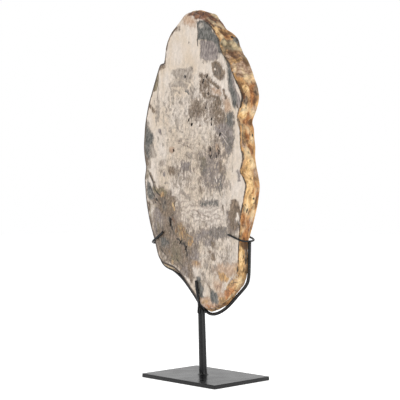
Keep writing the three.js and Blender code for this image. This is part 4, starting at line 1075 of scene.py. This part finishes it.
def bar_grid(route, diameter, aside, edge_share=BAR_END_EDGE, ripple=0.0):
    """A round bar: circles of one radius carried along the centre line, which shrink over a quarter
    circle to a closed end. The circles are laid out from the direction aside. A ripple makes the radius
    swell and sink along the bar, as the scales of a weld bead do."""
    line, length = bar_line(route)
    radius = diameter / 2
    edge = edge_share * radius
    turn = np.linspace(0, math.pi / 2, ROUND_STEPS)
    body = np.linspace(edge, length - edge, max(2, int((length - 2 * edge) / BAR_STEP) + 1))
    if ripple:
        body = np.linspace(edge, length - edge, max(8, int(length / BEAD_STEP)))
    start = edge * (1 - np.cos(turn[:-1]))
    places = np.concatenate(([0], start, body, length - start[::-1], [length]))
    rise = radius - edge + edge * np.sin(turn[:-1])
    radii = np.concatenate(([0], rise, np.full(len(body), radius), rise[::-1], [0]))
    radii = radii * (1 + ripple * np.sin(2 * math.pi * places / BEAD_RIPPLE_LENGTH))
    at = places / length * (len(line) - 1)
    slope = np.gradient(line, axis=0)
    centre = np.stack([np.interp(at, np.arange(len(line)), line[:, k]) for k in range(3)], axis=-1)
    along = np.stack([np.interp(at, np.arange(len(line)), slope[:, k]) for k in range(3)], axis=-1)
    along /= np.linalg.norm(along, axis=1)[:, None]
    across = np.cross(along, aside)
    across /= np.linalg.norm(across, axis=1)[:, None]
    up = np.cross(across, along)
    angle = np.linspace(0, 2 * math.pi, BAR_SIDES, endpoint=False)
    ring = across[:, None] * np.cos(angle)[:, None] + up[:, None] * np.sin(angle)[:, None]
    return centre[:, None] + radii[:, None, None] * ring


def post_grid(foot_z, foot_diameter, top_diameter):
    """The leaning post: a profile of radius and height turned round an axis that leans from the foot's
    centre to the top's. The foot widens into a weld bead whose radius ripples with the angle, and the
    top is cut off on the slant of the rod that lies on it."""
    foot, top = foot_diameter / 2, top_diameter / 2
    top_z = ROD_AT_POST_Z - POST_SEAT / math.cos(WELD_ANGLE)
    height = top_z - foot_z
    bead = np.linspace(0, 1, 9)
    bead_radius = foot + WELD_REACH * (1 - np.sin(math.pi / 2 * bead) ** 0.8)
    shaft = np.linspace(WELD_HEIGHT, height - 0.6, 24)
    shaft_radius = foot + (top - foot) * shaft / height
    levels = np.concatenate(([0], WELD_HEIGHT * bead, shaft[1:], [height - 0.2, height, height]))
    radii = np.concatenate(([0], bead_radius, shaft_radius[1:], [top - 0.1, top - 0.6, 0]))
    angle = np.linspace(0, 2 * math.pi, POST_SIDES, endpoint=False)
    on_bead = np.where(levels < WELD_HEIGHT, np.sin(math.pi * np.clip(levels / WELD_HEIGHT, 0, 1)), 0)
    ripple = 1 + WELD_RIPPLE * on_bead[:, None] * np.sin(WELD_SCALES * angle)
    r = radii[:, None] * ripple
    share = (levels / height)[:, None]
    across = r * np.cos(angle)
    lean = POST_FOOT_X + (POST_TOP_X - POST_FOOT_X) * share
    z = foot_z + share * (height - across * math.tan(WELD_ANGLE))
    return np.stack((lean + across, r * np.sin(angle), z), axis=-1)


def plate_grid(length, depth, thickness):
    """The base plate: a rounded rectangle carried round a profile of inset and height. The profile runs
    from the middle of the underside, round the broken lower and upper edges, to the middle of the top."""
    turn = np.linspace(0, math.pi / 2, ROUND_STEPS)
    rounding = PLATE_EDGE * (1 - np.sin(turn))
    rise = PLATE_EDGE * (1 - np.cos(turn))
    inset = np.concatenate(([None, 3 * PLATE_EDGE], rounding, rounding[::-1], [3 * PLATE_EDGE, None]))
    level = np.concatenate(([0, 0], rise, thickness - rise[::-1], [thickness, thickness]))
    corner = np.linspace(0, math.pi / 2, 7)
    directions = np.concatenate([corner + k * math.pi / 2 for k in range(4)])
    sign_x = np.repeat((1, -1, -1, 1), len(corner))
    sign_y = np.repeat((1, 1, -1, -1), len(corner))
    rows = []
    for step, z in zip(inset, level):
        if step is None:
            rows.append(np.stack((0 * directions, 0 * directions, z + 0 * directions), axis=-1))
            continue
        radius = max(PLATE_CORNER - step, 0.05)
        x = sign_x * (length / 2 - step - radius) + radius * np.cos(directions)
        y = sign_y * (depth / 2 - step - radius) + radius * np.sin(directions)
        rows.append(np.stack((x, y, z + 0 * directions), axis=-1))
    return np.array(rows)


def add(tree, kind, settings=None, inputs=None):
    """Adds a node: settings are its attributes, and inputs its sockets by name or number, each a value or
    another node's output socket. Returns the node."""
    node = tree.nodes.new(kind)
    for name, value in (settings or {}).items():
        setattr(node, name, value)
    for name, value in (inputs or {}).items():
        if isinstance(value, bpy.types.NodeSocket):
            tree.links.new(value, node.inputs[name])
        else:
            node.inputs[name].default_value = value
    return node


def blank_material(name):
    """A new material with only its output, and its node tree."""
    material = bpy.data.materials.new(name)
    material.use_nodes = True
    material.node_tree.nodes.clear()
    return material, material.node_tree


def stone_patterns(tree):
    """The stone's noise patterns by name, each in millimetres of the object, and the place in them."""
    place = add(tree, "ShaderNodeTexCoord").outputs["Object"]
    place = add(tree, "ShaderNodeVectorMath", {"operation": "SCALE"}, {0: place, "Scale": 1 / MM}).outputs[0]
    patterns = {}
    for name, (size, turn, octaves, strength) in PATTERNS.items():
        spread = add(tree, "ShaderNodeMapping", {"vector_type": "TEXTURE"}, {
            "Vector": place, "Scale": size, "Rotation": (0, math.radians(turn), 0)})
        noise = add(tree, "ShaderNodeTexNoise", {}, {
            "Vector": spread.outputs[0], "Scale": 1.0, "Detail": octaves, "Roughness": strength})
        patterns[name] = noise.outputs["Fac"]
    return patterns, place


def cover_mask(tree, name, pattern, reach, softness=0.3, most=1.0):
    """Mask of a stored cover field: where the cover plus the pattern times reach passes the middle, and
    nowhere without cover."""
    field = add(tree, "ShaderNodeAttribute", {"attribute_name": name}).outputs["Fac"]
    pushed = add(tree, "ShaderNodeMath", {"operation": "MULTIPLY_ADD"}, {0: pattern, 1: reach, 2: field})
    middle = 0.5 + reach / 2
    mask = add(tree, "ShaderNodeMapRange", {"interpolation_type": "SMOOTHSTEP"}, {
        "Value": pushed.outputs[0], "From Min": middle - softness, "From Max": middle + softness})
    there = add(tree, "ShaderNodeMapRange", {"interpolation_type": "SMOOTHSTEP"}, {
        "Value": field, "From Min": 0.02, "From Max": 0.3, "To Max": most})
    return add(tree, "ShaderNodeMath", {"operation": "MULTIPLY"}, {
        0: mask.outputs[0], 1: there.outputs[0]}).outputs[0]


def laid_over(tree, ground, coats):
    """A ground colour with coats of colour laid over it in turn: each coat is a hex code or a socket, and
    the mask that says how much of it covers what lies below."""
    colour = linear(ground)
    for coat, mask in coats:
        shade = linear(coat) if isinstance(coat, str) else coat
        colour = add(tree, "ShaderNodeMix", {"data_type": "RGBA"}, {0: mask, 6: colour, 7: shade}).outputs[2]
    return colour


def tint_coats(tree, patterns):
    """The coats of every tint but the dark one, each wandering between its two colours, with its mask."""
    wander = add(tree, "ShaderNodeMapRange", {"interpolation_type": "SMOOTHSTEP"}, {
        "Value": patterns["weave"], "From Min": 0.4, "From Max": 0.6}).outputs[0]
    coats = []
    for name, (light, deep, pattern, reach) in TINTS.items():
        if name == "dark":
            continue
        body = laid_over(tree, light, [(deep, wander)])
        mask = cover_mask(tree, name, patterns[pattern], reach)
        edge = add(tree, "ShaderNodeMath", {"operation": "PINGPONG"}, {0: mask, 1: TINT_EDGE})
        edge = add(tree, "ShaderNodeMath", {"operation": "MULTIPLY"}, {
            0: edge.outputs[0], 1: TINT_EDGE_COVER})
        coats += [(body, mask), (TINT_EDGE_COLOUR, edge.outputs[0])]
    return coats


def polished_stone():
    """Silicified wood, sawn and polished: agate and chalcedony with the wood's grain, with a soft gloss
    like honed marble. Its plain ground is pinkish beige with faint upright grain, and drab grey-brown
    where iron and old bark are shut in."""
    material, tree = blank_material("petrified_wood_polished")
    patterns, place = stone_patterns(tree)
    grain = add(tree, "ShaderNodeMapRange", {}, {
        "Value": patterns["streak"], "From Min": 0.34, "From Max": 0.7, "To Max": 0.8}).outputs[0]
    clouds = add(tree, "ShaderNodeMapRange", {}, {
        "Value": patterns["cloud"], "From Min": 0.42, "From Max": 0.6}).outputs[0]
    coats = [("#c8baac", grain), ("#cbbaa6", clouds)]
    busy = add(tree, "ShaderNodeAttribute", {"attribute_name": "busy"}).outputs["Fac"]
    stirred = add(tree, "ShaderNodeMath", {"operation": "MULTIPLY_ADD"}, {
        0: busy, 1: 0.1, 2: patterns["fleck"]})
    often = add(tree, "ShaderNodeMath", {"operation": "MULTIPLY_ADD"}, {0: busy, 1: 0.8, 2: 0.2}).outputs[0]
    for low, high, tone in ((0.5, 0.66, "#ad9f91"), (0.59, 0.72, "#887a6e")):
        mottle = add(tree, "ShaderNodeMapRange", {"interpolation_type": "SMOOTHSTEP"}, {
            "Value": stirred.outputs[0], "From Min": low, "From Max": high, "To Max": 0.85})
        share = add(tree, "ShaderNodeMath", {"operation": "MULTIPLY"}, {0: often, 1: mottle.outputs[0]})
        coats.append((tone, share.outputs[0]))
    for tone, pattern, reach in (("#9f8e7f", "fleck", 2.4), ("#7a6b5e", "blotch", 5.0)):
        coats.append((tone, cover_mask(tree, "drab", patterns[pattern], reach, softness=0.35, most=0.85)))
    coats += tint_coats(tree, patterns)
    field = add(tree, "ShaderNodeAttribute", {"attribute_name": "drab"}).outputs["Fac"]
    drab = add(tree, "ShaderNodeMapRange", {"interpolation_type": "SMOOTHSTEP"}, {
        "Value": field, "From Min": 0.05, "From Max": 0.4}).outputs[0]
    for tone, pattern, least, most in (("#b8a78f", "weave", 0.54, 0.64), ("#3d3127", "hatch", 0.54, 0.63)):
        vein = add(tree, "ShaderNodeMapRange", {"interpolation_type": "SMOOTHSTEP"}, {
            "Value": patterns[pattern], "From Min": least, "From Max": most, "To Max": 0.75})
        share = add(tree, "ShaderNodeMath", {"operation": "MULTIPLY"}, {0: drab, 1: vein.outputs[0]})
        coats.append((tone, share.outputs[0]))

    field = add(tree, "ShaderNodeAttribute", {"attribute_name": "hatch"}).outputs["Fac"]
    lines = add(tree, "ShaderNodeMapRange", {"interpolation_type": "SMOOTHSTEP"}, {
        "Value": patterns["hatch"], "From Min": 0.5, "From Max": 0.62})
    share = add(tree, "ShaderNodeMath", {"operation": "MULTIPLY"}, {0: field, 1: lines.outputs[0]})
    coats.append(("#6a605b", share.outputs[0]))

    bands = add(tree, "ShaderNodeTexWave", {"bands_direction": "Z"}, {
        "Vector": place, "Scale": 0.042, "Distortion": 15.0, "Detail": 2.0, "Detail Scale": 0.8})
    thin = add(tree, "ShaderNodeMapRange", {"interpolation_type": "SMOOTHSTEP"}, {
        "Value": bands.outputs["Fac"], "From Min": 0.45, "From Max": 0.96, "To Max": 0.55})
    field = add(tree, "ShaderNodeAttribute", {"attribute_name": "wave"}).outputs["Fac"]
    share = add(tree, "ShaderNodeMath", {"operation": "MULTIPLY"}, {0: field, 1: thin.outputs[0]})
    coats.append(("#8e7f75", share.outputs[0]))

    cells = add(tree, "ShaderNodeMapping", {"vector_type": "TEXTURE"}, {
        "Vector": place, "Scale": (3.0, 3.0, 5.0), "Rotation": (0, math.radians(14), 0)})
    holes = add(tree, "ShaderNodeTexVoronoi", {}, {"Vector": cells.outputs[0], "Scale": 1.0})
    near = add(tree, "ShaderNodeMapRange", {"interpolation_type": "SMOOTHSTEP"}, {
        "Value": holes.outputs["Distance"], "From Min": 0.16, "From Max": 0.34, "To Min": 1.0, "To Max": 0.0})
    few = add(tree, "ShaderNodeMapRange", {"interpolation_type": "SMOOTHSTEP"}, {
        "Value": patterns["blotch"], "From Min": 0.46, "From Max": 0.54})
    field = add(tree, "ShaderNodeAttribute", {"attribute_name": "speck"}).outputs["Fac"]
    share = add(tree, "ShaderNodeMath", {"operation": "MULTIPLY"}, {0: near.outputs[0], 1: few.outputs[0]})
    speck = add(tree, "ShaderNodeMath", {"operation": "MULTIPLY"}, {0: share.outputs[0], 1: field}).outputs[0]
    # 21180f inside the pits, laid near the end of the coats, is painted shade in the pits over their sunk
    # shape.
    pit = cover_mask(tree, "pit", patterns["grit"], 0.4, 0.09)
    coats += [("#54432f", speck),
              (TINTS["dark"][0], cover_mask(tree, "dark", patterns["grit"], TINTS["dark"][3])),
              # 5a4b3e along the face's edge: partly dark rind, partly painted shade of the rim beside the
              # edge.
              ("#5a4b3e", cover_mask(tree, "rind_and_shade", patterns["fleck"], 2.2)),
              ("#21180f", pit)]
    colour = laid_over(tree, "#d8cdc2", coats)

    lively = add(tree, "ShaderNodeMath", {"operation": "MULTIPLY_ADD"}, {0: often, 1: 0.7, 2: 0.35})
    for pattern, least, most in (("grit", 0.86, 1.07), ("fleck", 0.77, 1.12), ("weave", 0.86, 1.08),
                                 ("blotch", 0.93, 1.05)):
        tone = add(tree, "ShaderNodeMapRange", {}, {
            "Value": patterns[pattern], "From Min": 0.62, "From Max": 0.38, "To Min": least, "To Max": most})
        colour = add(tree, "ShaderNodeMix", {"data_type": "RGBA", "blend_type": "MULTIPLY"}, {
            0: lively.outputs[0], 6: colour, 7: tone.outputs[0]}).outputs[2]
    holes_depth = add(tree, "ShaderNodeMath", {"operation": "MAXIMUM"}, {0: speck, 1: pit}).outputs[0]
    grain = add(tree, "ShaderNodeMath", {"operation": "MULTIPLY"}, {0: patterns["streak"], 1: 0.05})
    level = add(tree, "ShaderNodeMath", {"operation": "SUBTRACT"}, {0: grain.outputs[0], 1: holes_depth})
    bump = add(tree, "ShaderNodeBump", {}, {"Strength": 0.6, "Distance": 0.0006, "Height": level.outputs[0]})
    gloss = add(tree, "ShaderNodeMapRange", {}, {"Value": holes_depth, "To Min": 0.36, "To Max": 0.8})
    shader = add(tree, "ShaderNodeBsdfPrincipled", {}, {
        "Base Color": colour, "Roughness": gloss.outputs[0], "Normal": bump.outputs[0], "IOR": 1.54})
    add(tree, "ShaderNodeOutputMaterial", {}, {"Surface": shader.outputs[0]})
    return material


def raw_bark():
    """The natural outside of the fossil trunk: rough iron-stained quartz, ochre to rust brown, without gloss.
    Its colour is paler on the high relief, a painted highlight on the ridges, and darker on the low relief,
    painted shade in the crevices."""
    material, tree = blank_material("petrified_wood_bark")
    patterns, place = stone_patterns(tree)
    swing = add(tree, "ShaderNodeMapRange", {"interpolation_type": "SMOOTHSTEP"}, {
        "Value": patterns["blotch"], "From Min": 0.38, "From Max": 0.6}).outputs[0]
    worn = add(tree, "ShaderNodeMapRange", {"interpolation_type": "SMOOTHSTEP"}, {
        "Value": patterns["cloud"], "From Min": 0.45, "From Max": 0.6}).outputs[0]
    # The bark's lifted height plus grit decides where the colour gets a painted highlight on the ridges and
    # painted shade in the crevices.
    ridge = add(tree, "ShaderNodeAttribute", {"attribute_name": "ridge"}).outputs["Fac"]
    relief_for_painted_light = add(tree, "ShaderNodeMath", {"operation": "MULTIPLY_ADD"}, {
        0: patterns["grit"], 1: 1.4, 2: ridge}).outputs[0]
    high = add(tree, "ShaderNodeMapRange", {"interpolation_type": "SMOOTHSTEP"}, {
        "Value": relief_for_painted_light, "From Min": 1.6, "From Max": 3.2, "To Max": 0.6}).outputs[0]
    low = add(tree, "ShaderNodeMapRange", {"interpolation_type": "SMOOTHSTEP"}, {
        "Value": relief_for_painted_light, "From Min": -0.6, "From Max": 0.8, "To Min": 0.8, "To Max": 0.0}).outputs[0]
    coats = [("#b5824e", swing), ("#c39a6c", worn)]
    for tone, pattern, reach in (("#8f7459", "fleck", 2.4), ("#6a5643", "blotch", 5.0)):
        coats.append((tone, cover_mask(tree, "drab", patterns[pattern], reach, softness=0.35, most=0.85)))
    coats += tint_coats(tree, patterns)
    bands = add(tree, "ShaderNodeTexWave", {"bands_direction": "Z"}, {
        "Vector": place, "Scale": 0.05, "Distortion": 22.0, "Detail": 3.0, "Detail Scale": 0.45})
    thin = add(tree, "ShaderNodeMapRange", {"interpolation_type": "SMOOTHSTEP"}, {
        "Value": bands.outputs["Fac"], "From Min": 0.5, "From Max": 0.95, "To Max": 0.6})
    field = add(tree, "ShaderNodeAttribute", {"attribute_name": "wave"}).outputs["Fac"]
    lines = add(tree, "ShaderNodeMath", {"operation": "MULTIPLY"}, {0: field, 1: thin.outputs[0]}).outputs[0]
    cells = add(tree, "ShaderNodeMapping", {"vector_type": "TEXTURE"}, {
        "Vector": place, "Scale": (9.0, 7.0, 14.0), "Rotation": (0, math.radians(20), 0)})
    splits = add(tree, "ShaderNodeTexVoronoi", {"feature": "DISTANCE_TO_EDGE"}, {
        "Vector": cells.outputs[0], "Scale": 1.0, "Randomness": 1.0})
    crack = add(tree, "ShaderNodeMapRange", {"interpolation_type": "SMOOTHSTEP"}, {
        "Value": splits.outputs["Distance"], "From Min": 0.02, "From Max": 0.09,
        "To Min": 0.6, "To Max": 0.0})
    open_here = add(tree, "ShaderNodeMapRange", {"interpolation_type": "SMOOTHSTEP"}, {
        "Value": patterns["weave"], "From Min": 0.52, "From Max": 0.6})
    crack = add(tree, "ShaderNodeMath", {"operation": "MULTIPLY"}, {
        0: crack.outputs[0], 1: open_here.outputs[0]}).outputs[0]
    # f0d8ac on the high relief is a painted highlight on the ridges; #5f3f25 on the low relief is painted
    # shade in the crevices.
    coats += [("#f0d8ac", high), ("#8a6744", lines), ("#5f3f25", low), ("#5a3d26", crack),
              (TINTS["dark"][0], cover_mask(tree, "dark", patterns["grit"], TINTS["dark"][3])),
              # 3f3329 on the rim just behind the face's edge: partly dark rind, partly painted shade.
              ("#3f3329", cover_mask(tree, "rind_and_shade", patterns["fleck"], 2.2))]
    colour = laid_over(tree, "#d9ac72", coats)
    for pattern, least, most in (("grit", 0.84, 1.14), ("fleck", 0.84, 1.14), ("weave", 0.9, 1.1)):
        tone = add(tree, "ShaderNodeMapRange", {}, {
            "Value": patterns[pattern], "From Min": 0.64, "From Max": 0.36, "To Min": least, "To Max": most})
        colour = add(tree, "ShaderNodeMix", {"data_type": "RGBA", "blend_type": "MULTIPLY"}, {
            0: 1.0, 6: colour, 7: tone.outputs[0]}).outputs[2]
    coarse = add(tree, "ShaderNodeMath", {"operation": "ADD"}, {0: patterns["blotch"], 1: patterns["hatch"]})
    level = add(tree, "ShaderNodeMath", {"operation": "MULTIPLY_ADD"}, {
        0: patterns["grit"], 1: 0.6, 2: coarse.outputs[0]}).outputs[0]
    level = add(tree, "ShaderNodeMath", {"operation": "MULTIPLY_ADD"}, {0: crack, 1: -0.5, 2: level})
    bump = add(tree, "ShaderNodeBump", {}, {"Strength": 1.0, "Distance": 0.003, "Height": level.outputs[0]})
    shader = add(tree, "ShaderNodeBsdfPrincipled", {}, {
        "Base Color": colour, "Roughness": 0.82, "Normal": bump.outputs[0], "IOR": 1.54})
    add(tree, "ShaderNodeOutputMaterial", {}, {"Surface": shader.outputs[0]})
    return material


def powder_coat():
    """Mild steel with a satin black powder coat: baked polyester paint, whose faint orange peel of about
    a millimetre spreads the highlights."""
    material, tree = blank_material("satin_black_powder_coat")
    place = add(tree, "ShaderNodeTexCoord").outputs["Object"]
    peel = add(tree, "ShaderNodeTexNoise", {}, {"Vector": place, "Scale": 1 / (1.1 * MM), "Detail": 2.0})
    wear = add(tree, "ShaderNodeTexNoise", {}, {"Vector": place, "Scale": 1 / (22 * MM), "Detail": 4.0})
    colour = add(tree, "ShaderNodeMix", {"data_type": "RGBA"}, {
        0: wear.outputs["Fac"], 6: linear("#040405"), 7: linear("#09090b")}).outputs[2]
    gloss = add(tree, "ShaderNodeMapRange", {}, {
        "Value": wear.outputs["Fac"], "From Min": 0.3, "From Max": 0.7, "To Min": 0.22, "To Max": 0.3})
    bump = add(tree, "ShaderNodeBump", {}, {
        "Strength": 0.2, "Distance": 0.00008, "Height": peel.outputs["Fac"]})
    shader = add(tree, "ShaderNodeBsdfPrincipled", {}, {
        "Base Color": colour, "Roughness": gloss.outputs[0], "Normal": bump.outputs[0], "IOR": 1.4})
    add(tree, "ShaderNodeOutputMaterial", {}, {"Surface": shader.outputs[0]})
    return material


def white_floor():
    """Matt white studio paper, lit until it is as bright as the surround."""
    material, tree = blank_material("white_paper")
    place = add(tree, "ShaderNodeTexCoord").outputs["Object"]
    tooth = add(tree, "ShaderNodeTexNoise", {}, {"Vector": place, "Scale": 1 / (2 * MM), "Detail": 2.0})
    bump = add(tree, "ShaderNodeBump", {}, {
        "Strength": 0.1, "Distance": 0.00005, "Height": tooth.outputs["Fac"]})
    shader = add(tree, "ShaderNodeBsdfPrincipled", {}, {
        "Base Color": linear("#f4f4f4"), "Roughness": 0.9, "Normal": bump.outputs[0],
        "Emission Color": linear("#ffffff"), "Emission Strength": 0.5})
    add(tree, "ShaderNodeOutputMaterial", {}, {"Surface": shader.outputs[0]})
    return material


def dress(piece, material, slot, *nodes):
    """Gives a finished piece its material and its body, and hides the CAD nodes that it stands for. The slot
    is not used.
    """
    piece.data.materials.append(material)
    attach(piece, BODY)
    if nodes:
        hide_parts(*nodes)


def steel():
    """The stand's one paint, made once."""
    return bpy.data.materials.get("satin_black_powder_coat") or powder_coat()


class OBJECT_OT_stone_slab(bpy.types.Operator):
    """Build the polished slab of petrified wood with its bark rim"""
    bl_idname = "object.stone_slab"
    bl_label = "Petrified Wood Slab"

    def execute(self, context):
        settings = context.scene.stone_settings
        grid, fields, polished = slab_grid(
            settings.thickness / MM, settings.bark_relief / MM, settings.relief_seed)
        piece, keep = build("petrified_wood_polished_slab", grid, "spine")
        for name, field in fields.items():
            attribute = piece.data.attributes.new(name, "FLOAT", "POINT")
            attribute.data.foreach_set("value", field.reshape(-1)[keep].astype(np.float32))
        dress(piece, polished_stone(), "petrified_wood", "petrified_wood_slab")
        piece.data.materials.append(raw_bark())
        both = polished[:-1] & polished[1:]
        piece.data.polygons.foreach_set("material_index", np.where(both, 0, 1).reshape(-1).astype(np.int32))
        return {"FINISHED"}


class OBJECT_OT_stone_plate(bpy.types.Operator):
    """Build the black steel base plate"""
    bl_idname = "object.stone_plate"
    bl_label = "Base Plate"

    def execute(self, context):
        settings = context.scene.stand_settings
        grid = plate_grid(settings.plate_length / MM, settings.plate_depth / MM,
                          settings.plate_thickness / MM)
        piece, _ = build("painted_base_plate", grid, "pole")
        dress(piece, steel(), "black_steel", "base_plate")
        return {"FINISHED"}


class OBJECT_OT_stone_post(bpy.types.Operator):
    """Build the leaning post with the weld at its foot"""
    bl_idname = "object.stone_post"
    bl_label = "Post"

    def execute(self, context):
        settings = context.scene.stand_settings
        grid = post_grid(settings.plate_thickness / MM, settings.post_foot_diameter / MM,
                         settings.post_top_diameter / MM)
        piece, _ = build("painted_post", grid, "pole")
        dress(piece, steel(), "black_steel", "post")
        return {"FINISHED"}


class OBJECT_OT_stone_cradle(bpy.types.Operator):
    """Build the bent rod, the two clips and the two prongs that hold the stone"""
    bl_idname = "object.stone_cradle"
    bl_label = "Cradle"

    def execute(self, context):
        settings = context.scene.stand_settings
        bars = (
            ("cradle_rod", ROD_ROUTE, settings.rod_diameter, (0, 1, 0)),
            ("left_clip", LEFT_CLIP_ROUTE, settings.left_wire_diameter, (0, 0, 1)),
            ("right_clip", RIGHT_CLIP_ROUTE, settings.right_wire_diameter, (0, 0, 1)),
            ("bottom_front_prong", FRONT_PRONG_ROUTE, settings.prong_diameter, (1, 0, 0)),
            ("bottom_back_prong", BACK_PRONG_ROUTE, settings.prong_diameter, (1, 0, 0)),
        )
        for node, route, diameter, aside in bars:
            piece, _ = build("painted_" + node, bar_grid(route, diameter / MM, aside), "pole")
            dress(piece, steel(), "black_steel", node)
        return {"FINISHED"}


class OBJECT_OT_stone_welds(bpy.types.Operator):
    """Build the weld beads where the rod meets the post, the clips and the prongs"""
    bl_idname = "object.stone_welds"
    bl_label = "Weld Beads"

    def execute(self, context):
        for name, route, diameter, aside in WELDS:
            grid = bar_grid(route, diameter, aside, BEAD_END_EDGE, BEAD_RIPPLE)
            piece, _ = build(name, grid, "pole")
            dress(piece, steel(), "black_steel")
        return {"FINISHED"}


class OBJECT_OT_stone_studio(bpy.types.Operator):
    """Build the pale floor, the soft lights and the camera"""
    bl_idname = "object.stone_studio"
    bl_label = "Studio"

    def execute(self, context):
        scene = context.scene
        settings = scene.studio_settings
        half = settings.floor_width / 2
        mesh = bpy.data.meshes.new("studio_floor")
        mesh.from_pydata([(-half, -half, 0), (half, -half, 0), (half, half, 0), (-half, half, 0)], [],
                         [(0, 1, 2, 3)])
        mesh.materials.append(white_floor())
        floor = bpy.data.objects.new("studio_floor", mesh)
        scene.collection.objects.link(floor)

        world = bpy.data.worlds.new("white_surround")
        world.use_nodes = True
        tree = world.node_tree
        tree.nodes.clear()
        seen = add(tree, "ShaderNodeLightPath").outputs["Is Camera Ray"]
        place = add(tree, "ShaderNodeTexCoord").outputs["Generated"]
        ahead = add(tree, "ShaderNodeVectorMath", {"operation": "DOT_PRODUCT"}, {0: place, 1: CAMERA_AIM})
        unseen = add(tree, "ShaderNodeMapRange", {"interpolation_type": "SMOOTHSTEP"}, {
            "Value": ahead.outputs["Value"], "From Min": -BACKDROP_TURN, "From Max": BACKDROP_TURN,
            "To Min": settings.room, "To Max": settings.surround})
        strength = add(tree, "ShaderNodeMapRange", {}, {
            "Value": seen, "To Min": unseen.outputs[0], "To Max": 1.0})
        glow = add(tree, "ShaderNodeBackground", {}, {"Color": (1, 1, 1, 1), "Strength": strength.outputs[0]})
        add(tree, "ShaderNodeOutputWorld", {}, {"Surface": glow.outputs[0]})
        scene.world = world

        for name, place, size, power in STUDIO_LIGHTS:
            light = bpy.data.lights.new(name, "AREA")
            light.shape = "RECTANGLE"
            light.size, light.size_y = size
            light.energy = power
            lamp = bpy.data.objects.new(name, light)
            lamp.location = place
            aim = np.array(LIGHT_AIM) - np.array(place)
            lamp.rotation_euler = mathutils.Vector(aim).to_track_quat("-Z", "Y").to_euler()
            scene.collection.objects.link(lamp)

        lens = bpy.data.cameras.new("photo_camera")
        lens.sensor_width = SENSOR
        lens.lens = FOCAL_PIXELS / IMAGE_SIZE * SENSOR
        lens.shift_y = -PRINCIPAL_RISE_PIXELS / IMAGE_SIZE
        camera = bpy.data.objects.new("photo_camera", lens)
        camera.location = CAMERA_PLACE
        camera.rotation_euler = mathutils.Vector(CAMERA_AIM).to_track_quat("-Z", "Y").to_euler()
        scene.collection.objects.link(camera)
        scene.camera = camera
        scene.view_settings.view_transform = "Standard"
        return {"FINISHED"}


STEPS = (OBJECT_OT_stone_slab, OBJECT_OT_stone_plate, OBJECT_OT_stone_post, OBJECT_OT_stone_cradle,
         OBJECT_OT_stone_welds, OBJECT_OT_stone_studio)


class VIEW3D_PT_stone(bpy.types.Panel):
    """The steps that build the petrified wood on its stand"""
    bl_idname = "VIEW3D_PT_stone"
    bl_label = "Petrified Wood on Stand"
    bl_space_type = "VIEW_3D"
    bl_region_type = "UI"
    bl_category = "Stone"

    def draw(self, context):
        for step in STEPS:
            self.layout.operator(step.bl_idname)


SETTINGS = {
    "stone_settings": StoneSettings,
    "stand_settings": StandSettings,
    "studio_settings": StudioSettings,
}


def register():
    for kind in (*SETTINGS.values(), *STEPS, VIEW3D_PT_stone):
        bpy.utils.register_class(kind)
    for name, kind in SETTINGS.items():
        setattr(bpy.types.Scene, name, PointerProperty(type=kind))


def unregister():
    for name in SETTINGS:
        delattr(bpy.types.Scene, name)
    for kind in reversed((*SETTINGS.values(), *STEPS, VIEW3D_PT_stone)):
        bpy.utils.unregister_class(kind)


def main():
    register()
    for step in STEPS:
        group, name = step.bl_idname.split(".")
        getattr(getattr(bpy.ops, group), name)()


if __name__ == "__main__":
    main()
